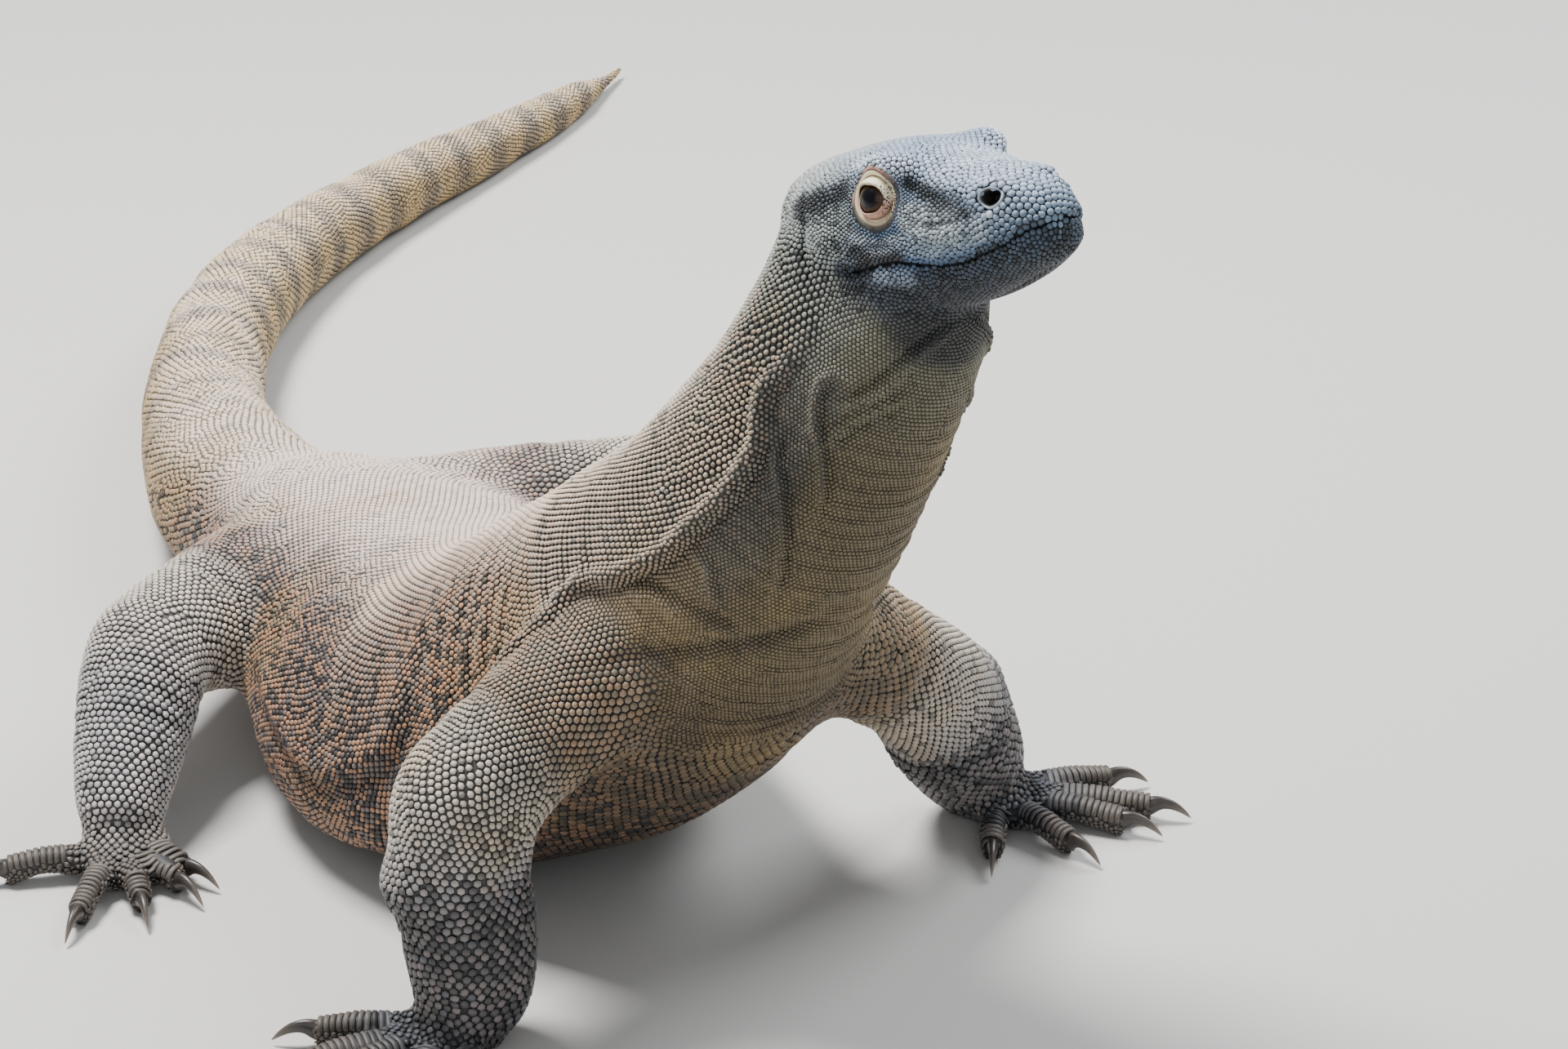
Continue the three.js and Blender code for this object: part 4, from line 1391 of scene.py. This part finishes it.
BALL = 11.5 * MM
GAZE = (0.93, -0.30, 0.20)
LID_AXIS = (0.95, -0.25, 0.17)
LID_RINGS = 26
LID_SPOKES = 84
NOSTRIL_RINGS = 18
NOSTRIL_SPOKES = 44
CLAW_RINGS = 22
CLAW_SPOKES = 14
RING_GROWTH = 1.05
SHEET_WALL = 0.3 * MM
# how far down a ray looks for the skin
DROP = 0.06
# the way a nostril faces, and how far its middle stands out from the bottom of its pit
NOSTRIL_FACES = (0.86, -0.45, 0.2)
NOSTRIL_DEPTH = 7.0 * MM
# the parts of a claw's length, from its root, that set its root and its bend
CLAW_ROOT = 0.12
CLAW_BEND = (0.3, 0.7)
SIDE_NAMES = {1: "left", -1: "right"}
# the lid's edge, its two inner creases and its outer rim, in mm from its middle, towards four sides
LID_FRONT = (8.6, 12.0, 15.0, 18.8)
LID_ABOVE = (6.8, 12.0, 15.0, 17.8)
LID_BEHIND = (10.8, 12.6, 14.6, 17.0)
LID_BELOW = (7.0, 10.6, 14.4, 18.6)


def head_way(x, y, z):
    """A direction in the head's axes, as one in the frame."""
    return unit(np.array([x, y, z]) @ HEAD_AXES)


class Eye:
    """One eye's place and axes: out of the head, ahead along it, and up."""

    def __init__(self, side):
        self.name = SIDE_NAMES[side]
        self.centre = middle(f"eye_{self.name}")
        self.out = head_way(side * LID_AXIS[0], *LID_AXIS[1:])
        ahead = head_way(0, -1, 0)
        self.ahead = unit(ahead - (ahead @ self.out) * self.out)
        self.up = np.cross(self.ahead, self.out) * side
        self.gaze = head_way(side * GAZE[0], *GAZE[1:])

    def polar(self, places):
        """Distance from the lid's axis, turn round it from straight ahead towards up, and height along it."""
        arm = places - self.centre
        ahead, up = arm @ self.ahead, arm @ self.up
        return np.hypot(ahead, up), np.arctan2(up, ahead), arm @ self.out

    def place(self, radius, turn, height):
        """The places that polar would read so."""
        return (self.centre + self.ahead * (radius * np.cos(turn))[:, None]
                + self.up * (radius * np.sin(turn))[:, None] + self.out * height[:, None])


def lid_radii(turn):
    """The lid's four marked distances at each turn, eased from one quarter to the next."""
    front, above = np.maximum(np.cos(turn), 0) ** 1.5, np.maximum(np.sin(turn), 0) ** 1.5
    behind, below = np.maximum(-np.cos(turn), 0) ** 1.5, np.maximum(-np.sin(turn), 0) ** 1.5
    marks = np.array([LID_FRONT, LID_ABOVE, LID_BEHIND, LID_BELOW]) * MM
    shares = np.stack([front, above, behind, below], axis=1)
    return shares @ marks / shares.sum(1, keepdims=True)


def ring_sheet(name, spokes, rings):
    """A flat disc with a hole, grown from a circle, with each corner's turn and its share of the way out."""
    bpy.ops.object.select_all(action="DESELECT")
    bpy.ops.mesh.primitive_circle_add(vertices=spokes, radius=1.0)
    sheet = bpy.context.object
    sheet.name = sheet.data.name = name
    with editing():
        for _ in range(rings):
            bpy.ops.mesh.extrude_edges_move()
            bpy.ops.transform.resize(value=(RING_GROWTH, RING_GROWTH, 1))
    flat = points_of(sheet.data)
    ring = np.rint(np.log(np.hypot(flat[:, 0], flat[:, 1])) / math.log(RING_GROWTH)).clip(0, rings)
    return sheet, np.arctan2(flat[:, 1], flat[:, 0]), ring / rings


def spokes_of(turn):
    """Each spoke's turn, and which corners lie on it."""
    for spoke in np.unique(np.round(turn, 4)):
        yield spoke, np.abs(turn - spoke) < 1e-3


def level_under(surface, start, base, out):
    """How far along out from the base the skin lies, straight below the start."""
    hit = surface.ray_cast(Vector(start), Vector(-out), DROP)[0]
    return (np.array(hit) - base) @ out if hit else 0.0


def make_lids(eye, surface):
    """Stacked folds round the eye, from a lip on the ball out to a rim that dips into the skin."""
    lids, turn, fold = ring_sheet(f"eyelids_{eye.name}", LID_SPOKES, LID_RINGS)
    marks = lid_radii(turn)
    stops = np.array([0, 0.34, 0.67, 1.0])
    radius = np.array([np.interp(f, stops, row) for f, row in zip(fold, marks)])
    rim = np.empty(len(fold))
    for spoke, held in spokes_of(turn):
        start = eye.place(marks[held][:1, 3], np.array([spoke]), np.array([DROP / 2]))[0]
        rim[held] = level_under(surface, start, eye.centre, eye.out)
    upper, lower = np.maximum(np.sin(turn), 0), np.maximum(-np.sin(turn), 0)
    hug = np.sqrt(np.maximum((BALL + 0.5 * MM) ** 2 - radius**2, (3 * MM) ** 2))
    height = hug + (rim - 0.8 * MM - hug) * ramp(0.1, 1.0, fold)
    height += (0.9 + 1.0 * upper) * MM * ramp(0, 0.1, fold) * ramp(1.0, 0.5, fold)
    band = np.interp(fold, stops, [0, 1, 2, 3])
    crest = np.abs(np.sin(band * math.pi)) ** 0.6
    strength = np.interp(band, [0, 1, 2, 3], [1.9, 1.5, 1.0, 0.2]) * (0.3 + 0.8 * upper + 0.25 * lower)
    height += crest * strength * MM
    places = eye.place(radius, turn, height)
    wrinkle = lattice_noise(places, 0.0016, 9) * 0.10
    wrinkle += np.sin(fold * 60 + 3 * np.sin(turn * 2)) * 0.07 * lower
    places = places + eye.out * (wrinkle * MM * ramp(0, 0.12, fold))[:, None]
    lids.data.vertices.foreach_set("co", places.ravel())
    store(lids.data, "fold", fold)
    store(lids.data, "crest", crest)
    store(lids.data, "upper", np.sin(turn) * 0.5 + 0.5)
    store(lids.data, "ahead", np.cos(turn) * 0.5 + 0.5)
    close_sheet(lids, eye.out)
    return lids


def make_nostril(side, surface):
    """A soft rim round the nostril, from deep in the nose over its lip to the skin."""
    start = HEAD_AT + np.array([side * 60, *NOSTRIL_AT]) * MM @ HEAD_AXES
    inward = head_way(-side, 0, 0)
    centre = np.array(surface.ray_cast(Vector(start), Vector(inward), 0.1)[0])
    centre -= inward * NOSTRIL_DEPTH
    out = head_way(side * NOSTRIL_FACES[0], *NOSTRIL_FACES[1:])
    ahead, up = head_way(0, -1, 0), head_way(0, 0, 1)
    ahead = unit(ahead - (ahead @ out) * out)
    up = unit(up - (up @ out) * out - (up @ ahead) * ahead)
    rim, turn, fold = ring_sheet(f"nostril_{SIDE_NAMES[side]}", NOSTRIL_SPOKES, NOSTRIL_RINGS)
    reach = np.interp(fold, (0, 0.35, 0.5, 0.7, 1), (0.35, 0.85, 0.98, 1.1, 1.32))
    spots = centre + (ahead * (reach * NOSTRIL[0] * np.cos(turn))[:, None]
                      + up * (reach * NOSTRIL[1] * np.sin(turn))[:, None]) * MM
    level = np.zeros(len(fold))
    for _, held in spokes_of(turn):
        outer = spots[held][np.argmax(fold[held])]
        level[held] = level_under(surface, outer + out * DROP / 3, outer, out)
    lift = np.interp(fold, (0, 0.3, 0.48, 0.66, 0.85, 1), (-7.0, -3.0, 0.0, 0.7, 0.3, -0.9)) * MM
    places = spots + out * (level + lift)[:, None]
    rim.data.vertices.foreach_set("co", places.ravel())
    store(rim.data, "fold", fold)
    store(rim.data, "upper", np.sin(turn) * 0.5 + 0.5)
    close_sheet(rim, out)
    return rim


def close_sheet(sheet, out):
    """Turns a ring's front outwards and gives it a thin wall behind, so that it is closed."""
    sheet.data.update()
    front = sum((face.normal * face.area for face in sheet.data.polygons), Vector())
    alone(sheet)
    if front.dot(Vector(out)) < 0:
        with editing():
            bpy.ops.mesh.flip_normals()
    wall = sheet.modifiers.new("wall", "SOLIDIFY")
    wall.thickness = SHEET_WALL
    wall.offset = -1
    bpy.ops.object.modifier_apply(modifier="wall")
    sheet.data.shade_smooth()


def make_ball(eye):
    """An eyeball with a clear bulge over the iris."""
    bpy.ops.object.select_all(action="DESELECT")
    bpy.ops.mesh.primitive_uv_sphere_add(segments=48, ring_count=32, radius=BALL)
    ball = bpy.context.object
    ball.name = ball.data.name = f"eyeball_{eye.name}"
    turn = Vector((0, 0, 1)).rotation_difference(Vector(eye.gaze)).to_matrix()
    flat = points_of(ball.data)
    angle = np.arccos(np.clip(flat[:, 2] / np.linalg.norm(flat, axis=1), -1, 1))
    bulge = 1 + 0.06 * ramp(0.75, 0.2, angle)
    places = (flat * bulge[:, None]) @ np.array(turn).T + eye.centre
    ball.data.vertices.foreach_set("co", places.ravel())
    store(ball.data, "sight", angle / math.pi)
    ball.data.shade_smooth()
    return ball


def make_claw(node):
    """A smoothly curved claw from inside the toe to the point, over the same node."""
    corners = points_of(NODES[node].data)
    leg, number = node.rsplit("_claw_", 1)
    flat = corners[:, :2] - corners[:, :2].mean(axis=0)
    axis = np.linalg.svd(flat, full_matrices=False)[2][0]
    reach = corners[:, :2] @ axis * np.sign(axis @ TOES[leg, int(number)].tangents[-1][:2])
    reach = (reach - reach.min()) / np.ptp(reach)
    thick_end = corners[reach < CLAW_ROOT]
    root = thick_end.mean(axis=0)
    half = corners[(reach > CLAW_BEND[0]) & (reach < CLAW_BEND[1])].mean(axis=0)
    tip = corners[np.argmax(reach)]
    thick = np.linalg.norm(thick_end - root, axis=1).mean()
    pull = 2 * half - (root + tip) / 2
    claw, turn, ring = ring_sheet(f"horn_{node}", CLAW_SPOKES, CLAW_RINGS)
    t = (ring * 1.15 - 0.15)[:, None]
    spine = (1 - t) ** 2 * root + 2 * t * (1 - t) * pull + t**2 * tip
    lie = unit(2 * (1 - t) * (pull - root) + 2 * t * (tip - pull))
    side = unit(np.cross(lie, UP))
    up = np.cross(side, lie)
    girth = thick * (1 - np.clip(t[:, 0], 0, 1)) ** 0.7 * (1 - 0.1 * ramp(0, 0.4, t[:, 0])) + 0.12 * MM
    across, over = 0.78 * girth * np.cos(turn), 1.1 * girth * np.sin(turn)
    places = spine + side * across[:, None] + up * over[:, None]
    places[:, 2] = np.maximum(places[:, 2], FLOOR_GAP)
    claw.data.vertices.foreach_set("co", places.ravel())
    alone(claw)
    with editing():
        bpy.ops.mesh.fill_holes(sides=0)
        bpy.ops.mesh.normals_make_consistent(inside=False)
    store(claw.data, "reach", np.clip(t[:, 0], 0, 1))
    claw.data.shade_smooth()
    return claw


def eye_material():
    """A dark pupil, a brown iris and a darker edge, under a wet coat."""
    material, r, shader = new_material("wet eye")
    place = r.place()
    sight = r.attribute("sight")
    streak = r.scaled(r.noise(place, 900.0, 3.0), 0.03, -0.015)
    at = r.math("ADD", sight, streak)
    colour = r.bands(at, (
        (0.0, "05070f"), (0.118, "04050b"), (0.135, "150d0a"), (0.17, "3a2415"), (0.24, "4e351d"),
        (0.265, "1a100c"), (0.33, "120c0b"), (1.0, "100b0b")))
    r.feed(shader, {"Base Color": colour, "Roughness": 0.3, "Specular IOR Level": 0.1,
                    "Coat Weight": 0.25, "Coat Roughness": 0.03})
    return material


def lid_material():
    """Pale stacked folds above, browner ones below, with painted shade in the creases between them, dark
    specks and fine cells.
    """
    material, r, shader = new_material("eyelid skin")
    place = r.place()
    fold, crest, upper, ahead = (r.attribute(n) for n in ("fold", "crest", "upper", "ahead"))
    # in both ramps, the dark stops where the folds meet each other and the ball are painted shade
    above = r.bands(fold, (
        (0.0, "5c4e38"), (0.04, "dccfaa"), (0.2, "f6edd2"), (0.32, "d5c6a2"), (0.35, "6e5f48"),
        (0.4, "e8ddbf"), (0.6, "dacdad"), (0.66, "4a3830"), (0.74, "a87868"), (0.9, "c29c8e"),
        (1.0, "8a7d78")))
    below = r.bands(fold, (
        (0.0, "4c382e"), (0.05, "b98a76"), (0.24, "c49882"), (0.34, "7a5a48"), (0.42, "d0bd9c"),
        (0.58, "c4b498"), (0.68, "6a6054"), (0.85, "2e2e30"), (1.0, "2a2d32")))
    colour = r.mix(r.step(upper, 0.3, 0.6), below, above)
    speck = r.noise(place, 900.0, 2.0, 0.6)
    corner = r.times(r.step(ahead, 0.8, 0.97), r.step(fold, 0.62, 0.74))
    colour = r.mix(corner, colour, linear("4b525c"))
    front = r.times(r.step(ahead, 0.72, 0.95), r.step(speck, 0.5, 0.56))
    colour = r.mix(front, colour, linear("221f1c"))
    dark = r.times(r.step(fold, 0.55, 0.9), r.step(r.noise(place, 500.0, 2.0, 0.6), 0.52, 0.58))
    colour = r.mix(r.times(dark, 0.8), colour, linear("26272a"))
    # darker away from each fold's crest: painted shade between the folds
    depth = r.scaled(r.step(crest, 0.0, 0.5), 0.5, 0.5)
    cells = r.node("ShaderNodeTexVoronoi", {"Vector": place, "Scale": 1500.0}).outputs["Distance"]
    r.feed(shader, {"Base Color": r.shaded(colour, depth), "Roughness": r.scaled(speck, 0.2, 0.5),
                    "Normal": r.relief(0.25, 0.15 * MM, cells)})
    return material


def nostril_material():
    """Black inside as painted shade of the hole, grey-blue over the lip of the nostril, darker below."""
    material, r, shader = new_material("nostril rim")
    fold, upper = r.attribute("fold"), r.attribute("upper")
    speck = r.noise(r.place(), 700.0, 2.0, 0.6)
    colour = r.bands(fold, (
        (0.0, "060606"), (0.3, "1a1512"), (0.42, "4a423c"), (0.56, "8a949d"), (0.75, "a6b3be"),
        (0.9, "64707f"), (1.0, "1f242b")))
    shade = r.scaled(r.step(upper, 0.8, 0.2), 0.35, 0.65)
    shade = r.scaled(speck, 0.15, shade)
    r.feed(shader, {"Base Color": r.shaded(colour, shade), "Roughness": r.scaled(speck, 0.2, 0.4)})
    return material


def horn_material():
    """Dark streaked horn, paler towards the point."""
    material, r, shader = new_material("claw horn")
    place = r.place()
    reach = r.attribute("reach")
    streak = r.noise(place, 260.0, 3.0, 0.6)
    at = r.math("ADD", reach, r.scaled(streak, 0.3, -0.15))
    colour = r.bands(at, (
        (0.0, "3c352f"), (0.2, "2f2a27"), (0.6, "4a433d"), (0.85, "6b6259"), (1.0, "8a8075")))
    r.feed(shader, {"Base Color": colour, "Roughness": r.scaled(streak, 0.25, 0.22),
                    "Normal": r.relief(0.4, 0.3 * MM, streak)})
    return material


# ---------------------------------------------------------------- floor, light and camera

CAMERA_FROM = Vector((-1.338, -2.486, 1.434))
CAMERA_TO = Vector((0.038, -0.451, 0.259))
LENS = 112.5
SENSOR = 36
CLIP_START = 0.05
FLOOR_SIZE = 14
FLOOR_GREY = (0.6, 0.59, 0.57, 1)
SKY = (0.93, 0.96, 1.0, 1)
SKY_POWER = 0.42
# each light: its place, size, power and tint
LIGHTS = {
    "key": ((-0.4, 0.7, 2.8), 0.9, 185, (1.0, 0.985, 0.97)),
    "fill": ((-1.8, -2.8, 1.5), 2.4, 22, (0.93, 0.965, 1.0)),
    "rear": ((2.2, 0.0, 2.2), 1.6, 70, (0.96, 0.98, 1.0)),
}
LIGHTS_TO = Vector((0, -0.2, 0.2))


def studio():
    """The floor, the sky, three lights and the camera."""
    bpy.ops.object.select_all(action="DESELECT")
    bpy.ops.mesh.primitive_plane_add(size=FLOOR_SIZE, location=(0, 0, 0))
    floor = bpy.context.object
    floor.name = "floor"
    material, r, shader = new_material("floor")
    r.feed(shader, {"Base Color": FLOOR_GREY, "Roughness": 0.7})
    floor.data.materials.append(material)
    world = bpy.data.worlds.new("studio")
    world.use_nodes = True
    Recipe(world.node_tree).feed(world.node_tree.nodes["Background"], {0: SKY, 1: SKY_POWER})
    bpy.context.scene.world = world
    for name, (place, size, power, tint) in LIGHTS.items():
        bpy.ops.object.light_add(type="AREA", location=place)
        light = bpy.context.object
        light.name = name
        light.data.size = size
        light.data.energy = power
        light.data.color = tint
        light.rotation_euler = (LIGHTS_TO - Vector(place)).to_track_quat("-Z", "Y").to_euler()
    bpy.ops.object.camera_add(location=CAMERA_FROM)
    camera = bpy.context.object
    camera.data.lens = LENS
    camera.data.sensor_width = SENSOR
    camera.data.clip_start = CLIP_START
    camera.rotation_euler = (CAMERA_TO - CAMERA_FROM).to_track_quat("-Z", "Y").to_euler()
    bpy.context.scene.camera = camera


# ---------------------------------------------------------------- putting the animal together

SEED = 7
# how far roots stray from their rows, on the body and more on the head, as a share of a scale's size
STRAY = 0.09
HEAD_STRAY = 0.13
# how much nearer to each other roots may stand when what is left is filled
REFILL = 0.86
SCALES_IN_A_PIECE = 6600
SIDES = 6
HEAD_SIDES = 7
SKIN_CHANCE = 0.4
SCALE_RELIEF = 0.15
SKIN_RELIEF = 0.5
# how far behind its middle an eye's socket reaches, how deep it sinks, and how far scales grow into it
SOCKET_BACK = -14 * MM
SOCKET_DEPTH = 6.0 * MM
SOCKET_EDGE = 1.2 * MM
# where no scale is rooted: round the nostril as a share of its size, and along the lips in mm
NOSTRIL_CLEAR = 1.24
NOSTRIL_CLEAR_AFTER = 1.2
LIP_CLEAR = 1.0
LIP_BACK = -36
REGIONS = {
    "head": SKULL, "neck": ("neck",), "chest": ("chest",), "abdomen": ("abdomen",),
    "hips": ("pelvis", TAIL[0]), "tail": TAIL[1:],
    **{leg: tuple(f"{leg}_{part}" for part in LIMB_PARTS) for leg in LEGS},
}
SLOTS = {"head": "head_skin", **{leg: "leg_skin" for leg in LEGS}}


def fit(piece, finish, slot, *nodes):
    """Gives a piece its finish and its place on the one body, in place of the nodes it stands for; the slot
    is not used.
    """
    piece.data.materials.append(finish)
    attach(piece, "root")
    if nodes:
        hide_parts(*nodes)


def shaped(skin):
    """The ground of the skin, once its folds, lips, brows and creases are raised."""
    ground = Ground(skin)
    sculpt = Sculpt(ground)
    for shape in (fold_neck, shape_head, crease_limbs, roughen):
        shape(sculpt)
    sculpt.apply()
    return ground


def fit_hard_parts(ground):
    """Nostrils, eyes, lids and claws, with the sockets sunk; gives the corners where scales may grow."""
    surface = surface_of(ground.mesh, ground.places)
    eyes = [Eye(side) for side in SIDE_NAMES]
    nostril_finish = nostril_material()
    for side in SIDE_NAMES:
        fit(make_nostril(side, surface), nostril_finish, "head_skin")
    eye_finish, lid_finish, horn_finish = eye_material(), lid_material(), horn_material()
    open_skin = np.ones(len(ground.places), bool)
    for eye in eyes:
        fit(make_ball(eye), eye_finish, "eye", f"eye_{eye.name}")
        fit(make_lids(eye, surface), lid_finish, "head_skin")
        radius, turn, height = eye.polar(ground.places)
        rim = lid_radii(turn)[:, 3]
        facing = (height > SOCKET_BACK) & (radius < rim)
        ground.places -= eye.out * (facing * SOCKET_DEPTH * ramp(rim, rim - 3 * MM, radius))[:, None]
        open_skin &= ~((height > SOCKET_BACK) & (radius < rim - SOCKET_EDGE))
    for node in NODES:
        if "_claw_" in node:
            fit(make_claw(node), horn_finish, "claw", node)
    ground.write()
    x, y, z = ground.head.T / MM
    nose = (from_nostril(y, z) < NOSTRIL_CLEAR) & (np.abs(x) > NOSTRIL_OUTER) & ground.on("head")
    lip = (np.abs(above_mouth(y, z)) < LIP_CLEAR) & (y < LIP_BACK) & ground.on(*SKULL)
    return open_skin & ~nose & ~lip


def rooms(sizes, corner):
    """The room that each scale wants, by the corner that it is nearest to."""
    return np.minimum(sizes[corner, ACROSS], sizes[corner, ALONG])


def root_scales(bed, ground, sizes, open_skin, chance):
    """Lays the roots from the chest outwards, unsettles them, fills what is left and evens them out."""
    start = ground.places[np.argmax(ground.on("chest") * ground.places[:, 2])]
    bed.spread([bed.plant_near(start)], open_skin)
    roots, corner = np.array(bed.roots), np.array(bed.corner)
    room = rooms(sizes, corner)
    loose = STRAY + HEAD_STRAY * ground.on(*SKULL)[corner]
    stray = chance.normal(0, 1, (len(roots), 3)) * (room * loose)[:, None]
    roots, corner = evened(bed, roots, corner, room, stray)
    bed.spread(bed.replant(roots, corner, REFILL), open_skin)
    roots, corner = np.array(bed.roots), np.array(bed.corner)
    roots, corner = evened(bed, roots, corner, rooms(sizes, corner), 0.0, 2)
    x, y, z = in_head(roots).T / MM
    hole = (from_nostril(y, z) < NOSTRIL_CLEAR_AFTER) & (np.abs(x) > NOSTRIL_OUTER)
    held = open_skin[corner] & ~(hole & ground.on("head")[corner])
    return roots[held], corner[held]


def looks_at(ground, paint, corner, places):
    """What the finish reads: body coordinates, where the scale is rooted, and the painted layers."""
    course = np.stack([ground.along / LONG, ground.side, ground.limb], axis=1)
    return {"course": course[corner], "root": places, "paint": paint[corner, :4], "wash": paint[corner, 4:]}


def fit_scales(ground, roots, corner, sizes, values, patches, finish):
    """The scales of each region in its pieces, from the snout's end of it to the tail's."""
    neighbours = nearest_roots(roots)
    part = ground.part[corner]
    for region, names in REGIONS.items():
        held = np.flatnonzero(is_part(part, *names))
        held = held[np.argsort(ground.along[corner[held]])]
        sides = HEAD_SIDES if region == "head" else SIDES
        for number, batch in enumerate(np.array_split(held, len(held) // SCALES_IN_A_PIECE + 1), 1):
            piece = scale_mesh(f"scales_{region}_{number}", batch, sides, neighbours, roots,
                               ground.normals[corner], ground.flow[corner], sizes[corner], values, patches)
            fit(piece, finish, SLOTS.get(region, "body_skin"))


def finish_skin(skin, ground, paint, finish):
    """The bare skin's finish, read from the nearest place of the finer skin that it was thinned from."""
    places = points_of(skin.data)
    tree = tree_of(ground.places)
    at = np.array([tree.find(place)[1] for place in places])
    for key, value in looks_at(ground, paint, at, places).items():
        store(skin.data, key, value)
    store(skin.data, "chance", np.full(len(at), SKIN_CHANCE))
    store(skin.data, "rise", np.zeros(len(at)))
    skin.data.shade_smooth()
    skin.data.materials.clear()
    fit(skin, finish, "body_skin", *FLESH)


chance = np.random.default_rng(SEED)
skin = make_skin()
ground = shaped(skin)
open_skin = fit_hard_parts(ground)
sizes = ground.scale_sizes()
bed = Bed(ground, sizes)
bands, band_corner = toe_scutes(bed, ground, open_skin)
roots, corner = root_scales(bed, ground, sizes, open_skin, chance)
paint = ground.paint()
values = {**looks_at(ground, paint, corner, roots), "chance": chance.random(len(corner))}
light_skin(skin, ground)
patches = patches_on(skin, roots)
markings = dragon_colours()
scale_finish = body_material("scales", markings, SCALE_RELIEF)
skin_finish = body_material("skin", markings, SKIN_RELIEF)
fit_scales(ground, roots, corner, sizes, values, patches, scale_finish)
band_roots = ground.places[band_corner]
values = {**looks_at(ground, paint, band_corner, band_roots), "chance": chance.random(len(bands))}
fit(scute_mesh("scales_toe_tops", bands, values, patches_on(skin, band_roots)), scale_finish, "leg_skin")
finish_skin(skin, ground, paint, skin_finish)
studio()
